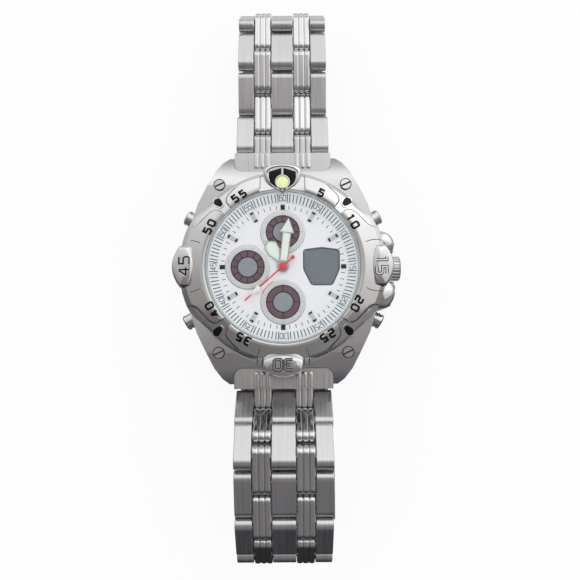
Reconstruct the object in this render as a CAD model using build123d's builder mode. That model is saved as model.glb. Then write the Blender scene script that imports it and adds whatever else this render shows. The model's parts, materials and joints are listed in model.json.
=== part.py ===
"""Sports watch with hands, a digital display and a closed steel bracelet, in millimetres.

The watch lies dial up. +Y points to 12 o'clock, +X to 3 o'clock and +Z away from the table.
The bracelet is closed and lies on its lower layer, with the folded clasp under the 6 o'clock side.
Heights of the head are measured from its case back; the bracelet carries the case back above the table.
"""
import os
from math import cos, hypot, radians, sin

from build123d import *

os.makedirs("parts", exist_ok=True)

# Bracelet
LINK_PITCH = 10.4
LINK_THICKNESS = 3.2
LINK_GAP = 0.16
PLATE_WIDTH = 3.6
RIB_WIDTH = 3.9
CENTRE_WIDTH = 5.0
COLUMN_GAP = 0.125
RIDGES_PER_RIB = 3
RIDGE_OVERLAP = 0.04
RIDGE_ROUND = 0.42
PLATE_EDGE = 0.2
FIRST_ROW_FLARE = 0.3
LINK_PIN_RADIUS = 0.5
PIN_CLEARANCE = 0.05
PIN_INSET = 0.15
SLOPES_12 = (-18, -2, 10, 8, -16, -12, -56, -110, -162, -175)
FLAT_PIECES_12 = 9
SLOPES_6 = (46, 57, 31, -11, -20, -18, -38, -52, -84, -93)
LYING_SLOPE = -180

# Case, heights over the case back
CASE_BOTTOM = 0.4
CASE_SHOULDER = 7.0
LUG_ROOT_HEIGHT = 7.9
LUG_TIP_HEIGHT = 4.9
LUG_TIP_BOTTOM = 1.2
LUG_REACH = 25.6
CASE_HALF_WIDTH = 21.3
LUG_GAP = 22.0
POCKET_START = 22.0
POCKET_CORNER = 2.0
CASE_BORE_RADIUS = 16.65
CASE_BLEND = 2.0
CASE_EDGE = 0.5
LUG_BEND_SHARE = 0.38
LUG_FLAT_SHARE = 0.8
CASE_OUTLINE_SHARES = ((0.56, 1.0), (0.63, 0.955), (0.71, 0.865), (0.79, 0.73), (0.89, 0.56), (0.965, 0.36))
GUARD_REACH = 24.8
GUARD_HALF_LENGTH = 9.3
GUARD_OUTLINE_SHARES = (
    (0.82, 0.92), (0.90, 0.79), (1.0, 0.57), (0.985, 0.35), (0.895, 0.33),
    (0.895, -0.33), (0.985, -0.34), (1.0, -0.47), (0.985, -0.72), (0.95, -0.93), (0.87, -1.0), (0.80, -1.0),
)
FLANK_REACH = 22.4
FLANK_HALF_LENGTH = 5.6
GUARD_ROOT_SHARE = 0.9
GUARD_BOTTOM = 1.6
GUARD_TOP = 7.4

# Bezel
BEZEL_INNER_RADIUS = 16.75
BEZEL_OUTER_RADIUS = 21.4
BEZEL_LIP_WIDTH = 0.45
BEZEL_TOP = 11.3
BEZEL_RIM = 9.3
BEZEL_MID_RADIUS = 20.4
BEZEL_MID_HEIGHT = 10.1
PAD_WIDTH = 6.2
PAD_DEPTH = 3.5
PAD_RADIUS = 18.7
PAD_RISE = 0.55
PAD_ROUND = 0.9
PAD_ANGLES = (30, 60, 120, 150, 210, 240, 300, 330)
BOSS_TOP = 11.2
UPPER_BOSS_BOTTOM = 6.3
SIDE_BOSS_BOTTOM = 7.4
BOSS_EDGE = 0.5
SHIELD_WIDTH = 8.8
SHIELD_START = 16.2
SHIELD_END = 24.0
SHIELD_SHARES = (
    (-0.26, 0.0), (0.26, 0.0), (0.5, 0.42), (0.44, 0.93),
    (0.2, 1.0), (-0.2, 1.0), (-0.44, 0.93), (-0.5, 0.42),
)
LOWER_BOSS_WIDTH = 9.6
LOWER_BOSS_START = 16.5
LOWER_BOSS_END = 23.6
LOWER_BOSS_SHARES = ((0.0, 0.0), (0.5, 0.42), (0.45, 1.0), (-0.45, 1.0), (-0.5, 0.42))
SIDE_BOSS_WIDTH = 9.4
SIDE_BOSS_START = 18.2
SIDE_BOSS_END = 24.2
SIDE_BOSS_SHARES = (
    (0.0, 0.0), (0.5, 0.3), (0.5, 0.75), (0.36, 1.0), (-0.36, 1.0), (-0.5, 0.75), (-0.5, 0.3),
)
CORNER_RECESS_RADIUS = 20.5
CORNER_RECESS_WIDTH = 2.3
CORNER_RECESS_LENGTH = 1.9
CORNER_RECESS_DEPTH = 0.45
CORNER_ANGLES = (45, 135, 225, 315)

# Case screws
SCREW_X = 14.1
SCREW_Y = 18.7
SCREW_HEAD_RADIUS = 1.2
SCREW_HEAD_HEIGHT = 0.9
SCREW_TOP = 8.3
SCREW_SHANK_RADIUS = 0.6
SCREW_SHANK_LENGTH = 4.0
SCREW_SLOT_WIDTH = 0.4
SCREW_SLOT_DEPTH = 0.4
SCREW_SLOT_TURN = 25
SCREW_SEAT_GAP = 0.15

# Crystal, gaskets and flange
CRYSTAL_RADIUS = 16.45
CRYSTAL_BOTTOM = 10.3
CRYSTAL_TOP = 11.7
CRYSTAL_EDGE = 0.3
GASKET_HEIGHT = 0.8
FLANGE_INNER_RADIUS = 14.1
FLANGE_LIP = 0.35
FLANGE_TOP = 10.2
BACK_GASKET_RADIUS = 15.2
BACK_GASKET_WIRE = 0.35

# Dial
DIAL_BOTTOM = 8.4
DIAL_THICKNESS = 0.4
DIAL_RADIUS = 16.6
DIAL_HOLE_RADIUS = 1.1
SUBDIAL_OFFSET = 7.75
SUBDIAL_RADIUS = 4.75
SUBDIAL_RIM = 0.22
SUBDIAL_RING_RADIUS = 3.6
SUBDIAL_CENTRE_RADIUS = 2.05
APPLIQUE_HEIGHT = 0.12
WINDOW_X = 8.45
WINDOW_Y = 0.1
WINDOW_WIDTH = 7.6
WINDOW_HEIGHT = 8.0
WINDOW_SHARES = (
    (-0.5, 0.44), (0.0, 0.5), (0.5, 0.44), (0.5, -0.08), (0.3, -0.5), (-0.28, -0.5), (-0.5, -0.08),
)
WINDOW_CORNER = 0.6
WINDOW_FRAME = 0.3
BATON_OUTER_RADIUS = 13.9
BATON_LENGTH = 2.3
BATON_WIDTH = 0.9
BATON_HEIGHT = 0.3
LCD_MARGIN = 0.5
LCD_THICKNESS = 0.9
LCD_GAP = 0.1

# Movement
HOLDER_INNER_RADIUS = 15.1
HOLDER_OUTER_RADIUS = 16.5
HOLDER_BOTTOM = 1.7
HOLDER_CHANNEL_HALF = 1.0
PLATE_RADIUS = 15.0
MAIN_PLATE_BOTTOM = 3.5
MAIN_PLATE_TOP = 6.7
BOARD_RADIUS = 14.6
BOARD_THICKNESS = 0.7
BOARD_GAP = 0.1
CHIP_SIZE = 5.0
CHIP_HEIGHT = 0.8
COIL_LENGTH = 9.0
COIL_RADIUS = 0.8
BATTERY_RADIUS = 4.75
BATTERY_THICKNESS = 2.1
BATTERY_X = -5.5
BATTERY_Y = -4.5
BATTERY_GAP = 0.15
BACK_RADIUS = 16.4
BACK_THICKNESS = 0.8
BACK_RIM_WIDTH = 0.9
BACK_RIM_HEIGHT = 0.7
BACK_GAP = 0.1
BACK_NOTCH_COUNT = 6
BACK_NOTCH_RADIUS = 15.2
BACK_NOTCH_WIDTH = 1.6
BACK_NOTCH_DEPTH = 0.35

# Hands and motion works
ARBOR_RADIUS = 0.25
CANNON_RADIUS = 0.5
HOUR_TUBE_RADIUS = 0.8
RUNNING_GAP = 0.05
HAND_THICKNESS = 0.16
HOUR_HAND_HEIGHT = 9.1
MINUTE_HAND_HEIGHT = 9.5
SECOND_HAND_HEIGHT = 9.86
HOUR_HAND_LENGTH = 6.6
HOUR_HAND_WIDTH = 2.9
HOUR_HAND_SHARES = (
    (-0.35, 0), (-0.45, 0.3), (-1, 0.55), (-1, 0.85), (0, 1), (1, 0.85), (1, 0.55), (0.45, 0.3), (0.35, 0),
)
MINUTE_HAND_LENGTH = 10.9
MINUTE_HAND_WIDTH = 1.9
MINUTE_ARROW_WIDTH = 3.3
MINUTE_ARROW_LENGTH = 3.4
SECOND_HAND_LENGTH = 11.2
SECOND_HAND_TAIL = 2.9
SECOND_HAND_WIDTH = 0.32
SECOND_DOT_RADIUS = 0.45
SECOND_HUB_RADIUS = 0.7
HOUR_HUB_RADIUS = 1.3
MINUTE_HUB_RADIUS = 1.0
HOUR_ANGLE = -30
MINUTE_ANGLE = 7
SECOND_ANGLE = 228
GEAR_GAP = 0.06
GEAR_LEVEL = 7.0
GEAR_THICKNESS = 0.35
CANNON_PINION_RADIUS = 1.0
MINUTE_WHEEL_RADIUS = 3.0
MINUTE_PINION_RADIUS = 1.0
TOOTH_DEPTH = 0.22
WHEEL_TEETH = 30
HOUR_WHEEL_TEETH = 40
PINION_TEETH = 10
TOOTH_WIDTH_SHARE = 0.5
MINUTE_WHEEL_ANGLE = 140
MINUTE_POST_RADIUS = 0.35

# Crown and setting lever
CONTROL_HEIGHT = 4.4
CROWN_RADIUS = 2.75
CROWN_START = 22.7
CROWN_LENGTH = 3.5
CROWN_FLUTES = 22
CROWN_FLUTE_RADIUS = 0.28
CROWN_EDGE = 0.35
CROWN_TRAVEL = 1.2
STEM_RADIUS = 0.6
STEM_START = 11.2
STEM_GROOVE = 0.25
LEVER_X = 12.6
LEVER_THICKNESS = 0.5
LEVER_WIDTH = 2.6
LEVER_RISE = 1.4
TUBE_RADIUS = 1.3
STEM_CHANNEL_HALF = 1.5

# Pushers
PUSHER_ANGLE = 29
PUSHER_RADIUS = 1.7
PUSHER_OUTER_END = 25.0
PUSHER_CAP_LENGTH = 2.9
PUSHER_STEM_RADIUS = 0.8
PUSHER_INNER_END = 16.9
PUSHER_TRAVEL = 0.8
PUSHER_EDGE = 0.25
SLEEVE_WALL = 0.35
SLEEVE_OUTER_END = 22.7
SLEEVE_START = 17.6

# End links and spring bars
END_LINK_TOP = 6.0
END_LINK_BOTTOM = 1.9
END_LINK_REACH = 26.6
END_LINK_GAP = 0.1
END_LINK_EDGE = 0.3
HINGE_HEIGHT = 3.5
CAST_RIB_RISE = 0.35
BAR_RADIUS = 0.75
BAR_Y = 24.1
BAR_TIP_RADIUS = 0.4
BAR_TIP_LENGTH = 1.0

# Clasp
FLAP_THICKNESS = 0.8
SHEET_GAP = 0.12
COVER_FLOOR = 0.8
COVER_WALL = 0.8
COVER_HALF_WIDTH = 10.4
COVER_HEIGHT = 4.5
COVER_EDGE = 0.25
COVER_END_ROUND = 0.9
BLADE_THICKNESS = 0.8
BLADE_HALF_WIDTH = 6.4
KNUCKLE_RADIUS = 1.1
CLASP_PIN_RADIUS = 0.5
COVER_END_PAST_BAR = 1.3
COVER_FLOOR_SETBACK = 1.6
COVER_NEAR_END = 17.0
BLADE_RUN = 38.0
FLAP_LENGTH = 20.0
FLAP_SIDE_GAP = 0.1
FLAP_EAR_HEIGHT = 3.0
FLAP_SETBACK = 1.0
FLAP_PIVOT_HEIGHT = 2.0
FLAP_EDGE = 0.25
FLAP_LIP = 0.55
FLAP_LIP_LENGTH = 13.0
FLAP_LIP_HEIGHT = 1.2
ADJUST_HOLES = 5
ADJUST_HOLE_RADIUS = 0.6
ADJUST_HOLE_STEP = 3.0
CUT_OVERRUN = 1.0

HINGE_STEP = LINK_PITCH / 2
LINK_LENGTH = LINK_PITCH - LINK_GAP
LINK_OVERHANG = (LINK_LENGTH - HINGE_STEP) / 2
HALF_THICKNESS = LINK_THICKNESS / 2
FIRST_HINGE_Y = END_LINK_REACH + LINK_GAP + LINK_OVERHANG
BRACELET_WIDTH = 2 * PLATE_WIDTH + 2 * RIB_WIDTH + CENTRE_WIDTH + 4 * COLUMN_GAP
RIB_START = CENTRE_WIDTH / 2 + COLUMN_GAP
RIB_END = RIB_START + RIB_WIDTH
PLATE_START = RIB_END + COLUMN_GAP
CASE_LIFT = HALF_THICKNESS - HINGE_STEP * sum(sin(radians(slope)) for slope in SLOPES_12) - HINGE_HEIGHT
DIAL_TOP = DIAL_BOTTOM + DIAL_THICKNESS

BOSS_OUTLINES = (
    (SHIELD_SHARES, SHIELD_WIDTH, SHIELD_START, SHIELD_END, 0, UPPER_BOSS_BOTTOM),
    (LOWER_BOSS_SHARES, LOWER_BOSS_WIDTH, LOWER_BOSS_START, LOWER_BOSS_END, 180, UPPER_BOSS_BOTTOM),
    (SIDE_BOSS_SHARES, SIDE_BOSS_WIDTH, SIDE_BOSS_START, SIDE_BOSS_END, 90, SIDE_BOSS_BOTTOM),
    (SIDE_BOSS_SHARES, SIDE_BOSS_WIDTH, SIDE_BOSS_START, SIDE_BOSS_END, -90, SIDE_BOSS_BOTTOM),
)

PARTS = {}


def keep(name, piece):
    """Label a finished piece and remember it under its name."""
    piece.part.label = name
    PARTS[name] = piece.part


def head_plane(height):
    """Give the level plane at a height over the case back."""
    return Plane.XY.offset(CASE_LIFT + height)


def scaled_points(shares, width, start, end):
    """Turn outline shares into points across a width and along a run."""
    return [(across * width, start + along * (end - start)) for across, along in shares]


def ring(plane, inner, outer, height):
    """Add a flat ring that stands on a plane."""
    with BuildSketch(plane) as profile:
        Circle(outer)
        Circle(inner, mode=Mode.SUBTRACT)
    extrude(profile.sketch, amount=height)


def disc(plane, radius, height, mode=Mode.ADD):
    """Add or cut a round disc that stands on a plane."""
    with BuildSketch(plane) as profile:
        Circle(radius)
    extrude(profile.sketch, amount=height, mode=mode)


def cross_bar(y, z, start, end, radius, mode=Mode.ADD):
    """Add or cut a round bar parallel to X."""
    with BuildSketch(Plane(origin=(start, y, z), x_dir=(0, 1, 0), z_dir=(1, 0, 0))) as profile:
        Circle(radius)
    extrude(profile.sketch, amount=end - start, mode=mode)


def case_middle():
    """Case middle with lugs, crown guards, movement bore and screw seats."""
    with BuildPart() as body:
        with BuildSketch(head_plane(CASE_BOTTOM)):
            with BuildLine():
                quarter = [(x * CASE_HALF_WIDTH, y * LUG_REACH) for x, y in CASE_OUTLINE_SHARES]
                right = quarter + [(CASE_HALF_WIDTH, 0)] + [(x, -y) for x, y in reversed(quarter)]
                left = [(-x, y) for x, y in reversed(right)]
                Polyline(*right, *left, close=True)
            make_face()
        extrude(amount=LUG_ROOT_HEIGHT - CASE_BOTTOM)
        with BuildSketch(Plane.YZ):
            with BuildLine():
                bottom = CASE_LIFT + CASE_BOTTOM
                tip_bottom = CASE_LIFT + LUG_TIP_BOTTOM
                tip = CASE_LIFT + LUG_TIP_HEIGHT
                root = CASE_LIFT + LUG_ROOT_HEIGHT
                bend = (LUG_REACH + SCREW_Y) / 2
                bend_height = root - LUG_BEND_SHARE * (root - tip)
                flat = LUG_FLAT_SHARE * POCKET_START
                Polyline(
                    (-LUG_REACH, tip), (-LUG_REACH, tip_bottom), (-flat, bottom), (flat, bottom),
                    (LUG_REACH, tip_bottom), (LUG_REACH, tip),
                )
                ThreePointArc((LUG_REACH, tip), (bend, bend_height), (SCREW_Y, root))
                Line((SCREW_Y, root), (-SCREW_Y, root))
                ThreePointArc((-SCREW_Y, root), (-bend, bend_height), (-LUG_REACH, tip))
            make_face()
        extrude(amount=CASE_HALF_WIDTH, both=True, mode=Mode.INTERSECT)
        with BuildPart(mode=Mode.PRIVATE) as guards:
            with BuildSketch(head_plane(GUARD_BOTTOM)):
                with BuildLine():
                    guard = [(x * GUARD_REACH, y * GUARD_HALF_LENGTH) for x, y in GUARD_OUTLINE_SHARES]
                    root = GUARD_ROOT_SHARE * CASE_HALF_WIDTH
                    Polyline(*guard, (root, guard[-1][1]), (root, guard[0][1]), close=True)
                make_face()
                with Locations((-FLANK_REACH / 2, 0)):
                    Rectangle(FLANK_REACH, 2 * FLANK_HALF_LENGTH)
            extrude(amount=GUARD_TOP - GUARD_BOTTOM)
            chamfer(guards.edges().group_by(Axis.Z)[-1], length=CASE_EDGE)
        add(guards.part)
        for outline in BOSS_OUTLINES:
            boss(*outline, Mode.SUBTRACT)
        disc(head_plane(CASE_SHOULDER), BEZEL_OUTER_RADIUS + LINK_GAP, LUG_ROOT_HEIGHT, Mode.SUBTRACT)
        disc(head_plane(0), CASE_BORE_RADIUS, CASE_SHOULDER + CUT_OVERRUN, Mode.SUBTRACT)
        for side in (1, -1):
            with BuildSketch(head_plane(0)):
                with Locations((0, side * (POCKET_START + LUG_REACH / 2))):
                    RectangleRounded(LUG_GAP, LUG_REACH, POCKET_CORNER)
            extrude(amount=LUG_ROOT_HEIGHT + CUT_OVERRUN, mode=Mode.SUBTRACT)
            tip_end = LUG_GAP / 2 + BAR_TIP_LENGTH
            bar_height = CASE_LIFT + HINGE_HEIGHT
            cross_bar(side * BAR_Y, bar_height, -tip_end, tip_end, BAR_TIP_RADIUS, Mode.SUBTRACT)
        with BuildSketch(head_plane(SCREW_TOP - SCREW_HEAD_HEIGHT)):
            with GridLocations(2 * SCREW_X, 2 * SCREW_Y, 2, 2):
                Circle(SCREW_HEAD_RADIUS + SCREW_SEAT_GAP)
        extrude(amount=LUG_ROOT_HEIGHT, mode=Mode.SUBTRACT)
        with BuildSketch(head_plane(SCREW_TOP - SCREW_HEAD_HEIGHT - SCREW_SHANK_LENGTH)):
            with GridLocations(2 * SCREW_X, 2 * SCREW_Y, 2, 2):
                Circle(SCREW_SHANK_RADIUS)
        extrude(amount=SCREW_SHANK_LENGTH + CUT_OVERRUN, mode=Mode.SUBTRACT)
        for plane in pusher_planes(SLEEVE_START - 2 * CUT_OVERRUN):
            disc(plane, PUSHER_RADIUS + RUNNING_GAP + SLEEVE_WALL, GUARD_REACH, Mode.SUBTRACT)
        control = CASE_LIFT + CONTROL_HEIGHT
        cross_bar(0, control, CASE_BORE_RADIUS - CUT_OVERRUN, CROWN_START, TUBE_RADIUS, Mode.SUBTRACT)
    keep("case_middle", body)


def pusher_planes(radius):
    """Give a plane across each pusher's axis, at a radius from the dial axis, in the order 2, 4, 8, 10."""
    planes = []
    for angle in (PUSHER_ANGLE, -PUSHER_ANGLE, 180 + PUSHER_ANGLE, 180 - PUSHER_ANGLE):
        outward = Vector(cos(radians(angle)), sin(radians(angle)), 0)
        origin = outward * radius + Vector(0, 0, CASE_LIFT + CONTROL_HEIGHT)
        planes.append(Plane(origin=origin, x_dir=(0, 0, 1), z_dir=outward))
    return planes


def bezel():
    """Bezel with numeral pads, the four cartouche bosses and the corner recesses."""
    with BuildPart() as pads:
        with BuildSketch(Plane.XZ):
            with BuildLine():
                Polyline(
                    (BEZEL_INNER_RADIUS, CASE_LIFT + CASE_SHOULDER),
                    (BEZEL_INNER_RADIUS, CASE_LIFT + BEZEL_TOP),
                    (BEZEL_INNER_RADIUS + BEZEL_LIP_WIDTH, CASE_LIFT + BEZEL_TOP),
                    (BEZEL_MID_RADIUS, CASE_LIFT + BEZEL_MID_HEIGHT + PAD_RISE),
                    (BEZEL_MID_RADIUS, CASE_LIFT + CASE_SHOULDER),
                    close=True,
                )
            make_face()
        revolve(axis=Axis.Z)
        with BuildSketch(head_plane(CASE_SHOULDER)):
            for angle in PAD_ANGLES:
                middle = (PAD_RADIUS * sin(radians(angle)), PAD_RADIUS * cos(radians(angle)), 0)
                with Locations(Location(middle, (0, 0, -angle))):
                    RectangleRounded(PAD_WIDTH, PAD_DEPTH, PAD_ROUND)
        extrude(amount=BEZEL_TOP, mode=Mode.INTERSECT)
    with BuildPart() as body:
        with BuildSketch(Plane.XZ):
            with BuildLine():
                Polyline(
                    (BEZEL_INNER_RADIUS, CASE_LIFT + CASE_SHOULDER),
                    (BEZEL_INNER_RADIUS, CASE_LIFT + BEZEL_TOP),
                    (BEZEL_INNER_RADIUS + BEZEL_LIP_WIDTH, CASE_LIFT + BEZEL_TOP),
                    (BEZEL_MID_RADIUS, CASE_LIFT + BEZEL_MID_HEIGHT),
                    (BEZEL_OUTER_RADIUS, CASE_LIFT + BEZEL_RIM),
                    (BEZEL_OUTER_RADIUS, CASE_LIFT + CASE_SHOULDER),
                    close=True,
                )
            make_face()
        revolve(axis=Axis.Z)
        add(pads.part)
        for outline in BOSS_OUTLINES:
            boss(*outline, Mode.ADD)
        disc(head_plane(0), BEZEL_INNER_RADIUS, BEZEL_TOP + CUT_OVERRUN, Mode.SUBTRACT)
        for angle in CORNER_ANGLES:
            across = Location(
                (CORNER_RECESS_RADIUS * cos(radians(angle)), CORNER_RECESS_RADIUS * sin(radians(angle)), 0),
                (0, 0, angle - 90),
            )
            with BuildSketch(head_plane(BEZEL_MID_HEIGHT - CORNER_RECESS_DEPTH)):
                with Locations(across):
                    Rectangle(CORNER_RECESS_WIDTH, CORNER_RECESS_LENGTH)
            extrude(amount=BEZEL_TOP, mode=Mode.SUBTRACT)
    keep("bezel", body)


def boss(shares, width, start, end, turn, bottom, mode):
    """Add or cut a bevelled boss with its outline across the rim, turned clockwise from 12 o'clock."""
    with BuildPart(mode=Mode.PRIVATE) as raised:
        with BuildSketch(head_plane(bottom)):
            with BuildLine():
                Polyline(*scaled_points(shares, width, start, end), close=True)
            make_face()
        extrude(amount=BOSS_TOP - bottom)
        chamfer(raised.faces().sort_by(Axis.Z)[-1].edges(), length=BOSS_EDGE)
    add(raised.part.rotate(Axis.Z, -turn), mode=mode)


def case_screws():
    """Four slotted screws on the case corners."""
    with BuildPart() as screws:
        with BuildSketch(head_plane(SCREW_TOP - SCREW_HEAD_HEIGHT)):
            with GridLocations(2 * SCREW_X, 2 * SCREW_Y, 2, 2):
                Circle(SCREW_HEAD_RADIUS)
        extrude(amount=SCREW_HEAD_HEIGHT)
        with BuildSketch(head_plane(SCREW_TOP - SCREW_HEAD_HEIGHT)):
            with GridLocations(2 * SCREW_X, 2 * SCREW_Y, 2, 2):
                Circle(SCREW_SHANK_RADIUS)
        extrude(amount=-SCREW_SHANK_LENGTH)
        with BuildSketch(head_plane(SCREW_TOP - SCREW_SLOT_DEPTH)):
            with GridLocations(2 * SCREW_X, 2 * SCREW_Y, 2, 2):
                Rectangle(2 * SCREW_HEAD_RADIUS, SCREW_SLOT_WIDTH, rotation=SCREW_SLOT_TURN)
        extrude(amount=SCREW_HEAD_HEIGHT, mode=Mode.SUBTRACT)
    keep("case_screws", screws)


def crystal_and_gaskets():
    """Mineral crystal, its nylon gasket and the back gasket."""
    with BuildPart() as crystal:
        disc(head_plane(CRYSTAL_BOTTOM), CRYSTAL_RADIUS, CRYSTAL_TOP - CRYSTAL_BOTTOM)
        chamfer(crystal.faces().sort_by(Axis.Z)[-1].edges(), length=CRYSTAL_EDGE)
    keep("crystal", crystal)
    with BuildPart() as gaskets:
        ring(head_plane(CRYSTAL_BOTTOM), CRYSTAL_RADIUS, BEZEL_INNER_RADIUS, GASKET_HEIGHT)
        back_gasket_inner = BACK_GASKET_RADIUS - BACK_GASKET_WIRE
        ring(head_plane(BACK_THICKNESS), back_gasket_inner, BACK_GASKET_RADIUS, BACK_GASKET_WIRE)
    keep("gaskets", gaskets)


def flange_ring():
    """Sloping flange between the dial and the crystal."""
    with BuildPart() as flange:
        with BuildSketch(Plane.XZ):
            with BuildLine():
                Polyline(
                    (FLANGE_INNER_RADIUS, CASE_LIFT + DIAL_TOP),
                    (DIAL_RADIUS, CASE_LIFT + DIAL_TOP),
                    (DIAL_RADIUS, CASE_LIFT + FLANGE_TOP),
                    (DIAL_RADIUS - FLANGE_LIP, CASE_LIFT + FLANGE_TOP),
                    (FLANGE_INNER_RADIUS, CASE_LIFT + DIAL_TOP + APPLIQUE_HEIGHT),
                    close=True,
                )
            make_face()
        revolve(axis=Axis.Z)
    keep("flange_ring", flange)


def window_sketch(grow):
    """Add the shield outline of the display window, grown on every side."""
    points = [
        (WINDOW_X + x * (WINDOW_WIDTH + 2 * grow), WINDOW_Y + y * (WINDOW_HEIGHT + 2 * grow))
        for x, y in WINDOW_SHARES
    ]
    with BuildSketch(mode=Mode.PRIVATE) as outline:
        with BuildLine():
            Polyline(*points, close=True)
        make_face()
        fillet(outline.vertices(), radius=WINDOW_CORNER)
    return outline.sketch


def dial():
    """Dial plate with its centre hole and display window."""
    with BuildPart() as plate:
        disc(head_plane(DIAL_BOTTOM), DIAL_RADIUS, DIAL_THICKNESS)
        disc(head_plane(DIAL_BOTTOM), DIAL_HOLE_RADIUS, DIAL_THICKNESS, Mode.SUBTRACT)
        with BuildSketch(head_plane(DIAL_BOTTOM)):
            add(window_sketch(0))
        extrude(amount=DIAL_THICKNESS, mode=Mode.SUBTRACT)
    keep("dial", plate)


def subdial_places():
    """Give the centres of the three small dials."""
    return ((0, SUBDIAL_OFFSET), (-SUBDIAL_OFFSET, 0), (0, -SUBDIAL_OFFSET))


def dial_appliques():
    """Hour batons, small dial rings and discs, and the window frame, all on the dial."""
    with BuildPart() as appliques:
        for hour in range(12):
            angle = radians(30 * hour)
            middle = BATON_OUTER_RADIUS - BATON_LENGTH / 2
            with BuildSketch(head_plane(DIAL_TOP)):
                with Locations(Location((middle * sin(angle), middle * cos(angle), 0), (0, 0, -30 * hour))):
                    Rectangle(BATON_WIDTH, BATON_LENGTH)
            extrude(amount=BATON_HEIGHT)
        for place in subdial_places():
            with BuildSketch(head_plane(DIAL_TOP)):
                with Locations(place):
                    Circle(SUBDIAL_RADIUS)
                    Circle(SUBDIAL_RADIUS - SUBDIAL_RIM, mode=Mode.SUBTRACT)
            extrude(amount=APPLIQUE_HEIGHT)
            with BuildSketch(head_plane(DIAL_TOP)):
                with Locations(place):
                    Circle(SUBDIAL_RING_RADIUS)
                    Circle(SUBDIAL_CENTRE_RADIUS + SUBDIAL_RIM, mode=Mode.SUBTRACT)
            extrude(amount=APPLIQUE_HEIGHT)
            with BuildSketch(head_plane(DIAL_TOP)):
                with Locations(place):
                    Circle(SUBDIAL_CENTRE_RADIUS)
            extrude(amount=APPLIQUE_HEIGHT / 2)
        with BuildSketch(head_plane(DIAL_TOP)):
            add(window_sketch(WINDOW_FRAME))
            add(window_sketch(0), mode=Mode.SUBTRACT)
        extrude(amount=APPLIQUE_HEIGHT)
    keep("dial_appliques", appliques)


def lcd_panel():
    """Display glass under the dial window."""
    with BuildPart() as panel:
        with BuildSketch(head_plane(DIAL_BOTTOM - LCD_GAP - LCD_THICKNESS)):
            with Locations((WINDOW_X, WINDOW_Y)):
                Rectangle(WINDOW_WIDTH + 2 * LCD_MARGIN, WINDOW_HEIGHT + 2 * LCD_MARGIN)
        extrude(amount=LCD_THICKNESS)
    keep("lcd_panel", panel)


def movement():
    """Movement holder, main plate, circuit board and battery."""
    control = CASE_LIFT + CONTROL_HEIGHT
    with BuildPart() as holder:
        holder_height = DIAL_BOTTOM - HOLDER_BOTTOM
        cut_start = HOLDER_INNER_RADIUS - CUT_OVERRUN
        ring(head_plane(HOLDER_BOTTOM), HOLDER_INNER_RADIUS, HOLDER_OUTER_RADIUS, holder_height)
        for plane in pusher_planes(cut_start):
            disc(plane, HOLDER_CHANNEL_HALF, GUARD_REACH, Mode.SUBTRACT)
        cross_bar(0, control, cut_start, GUARD_REACH, HOLDER_CHANNEL_HALF, Mode.SUBTRACT)
    keep("movement_holder", holder)
    with BuildPart() as plate:
        disc(head_plane(MAIN_PLATE_BOTTOM), PLATE_RADIUS, MAIN_PLATE_TOP - MAIN_PLATE_BOTTOM)
        disc(head_plane(MAIN_PLATE_BOTTOM), ARBOR_RADIUS + RUNNING_GAP, MAIN_PLATE_TOP, Mode.SUBTRACT)
        channel_start = STEM_START - LEVER_THICKNESS
        with BuildSketch(head_plane(CONTROL_HEIGHT - STEM_CHANNEL_HALF)):
            with Locations(((channel_start + PLATE_RADIUS) / 2 + CUT_OVERRUN, 0)):
                Rectangle(PLATE_RADIUS - channel_start + 2 * CUT_OVERRUN, 2 * STEM_CHANNEL_HALF)
        extrude(amount=MAIN_PLATE_TOP, mode=Mode.SUBTRACT)
        post_x, post_y = minute_wheel_place()
        with BuildSketch(head_plane(MAIN_PLATE_TOP)):
            with Locations((post_x, post_y)):
                Circle(MINUTE_POST_RADIUS)
        extrude(amount=DIAL_BOTTOM - MAIN_PLATE_TOP - LCD_GAP)
        with BuildSketch(head_plane(MAIN_PLATE_TOP)):
            with Locations((WINDOW_X, WINDOW_Y)):
                Rectangle(WINDOW_WIDTH, WINDOW_HEIGHT)
                Rectangle(WINDOW_WIDTH - 2 * LCD_MARGIN, WINDOW_HEIGHT - 2 * LCD_MARGIN, mode=Mode.SUBTRACT)
        extrude(amount=DIAL_BOTTOM - 2 * LCD_GAP - LCD_THICKNESS - MAIN_PLATE_TOP)
    keep("main_plate", plate)
    with BuildPart() as board:
        board_bottom = MAIN_PLATE_BOTTOM - BOARD_GAP - BOARD_THICKNESS
        disc(head_plane(board_bottom), BOARD_RADIUS, BOARD_THICKNESS)
        with BuildSketch(head_plane(board_bottom)):
            with Locations((BATTERY_X, BATTERY_Y)):
                Circle(BATTERY_RADIUS + BATTERY_GAP)
        extrude(amount=BOARD_THICKNESS, mode=Mode.SUBTRACT)
        with BuildSketch(head_plane(board_bottom - CHIP_HEIGHT)):
            with Locations((-BATTERY_X, BATTERY_Y)):
                Rectangle(CHIP_SIZE, CHIP_SIZE)
        extrude(amount=CHIP_HEIGHT)
        coil_height = CASE_LIFT + board_bottom - COIL_RADIUS
        cross_bar(-2 * BATTERY_Y, coil_height, -COIL_LENGTH / 2, COIL_LENGTH / 2, COIL_RADIUS)
    keep("circuit_board", board)
    with BuildPart() as battery:
        battery_bottom = MAIN_PLATE_BOTTOM - BATTERY_GAP - BATTERY_THICKNESS
        with BuildSketch(head_plane(battery_bottom)):
            with Locations((BATTERY_X, BATTERY_Y)):
                Circle(BATTERY_RADIUS)
        extrude(amount=BATTERY_THICKNESS)
        fillet(battery.edges().filter_by(GeomType.CIRCLE), radius=BATTERY_GAP)
    keep("battery", battery)


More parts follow.
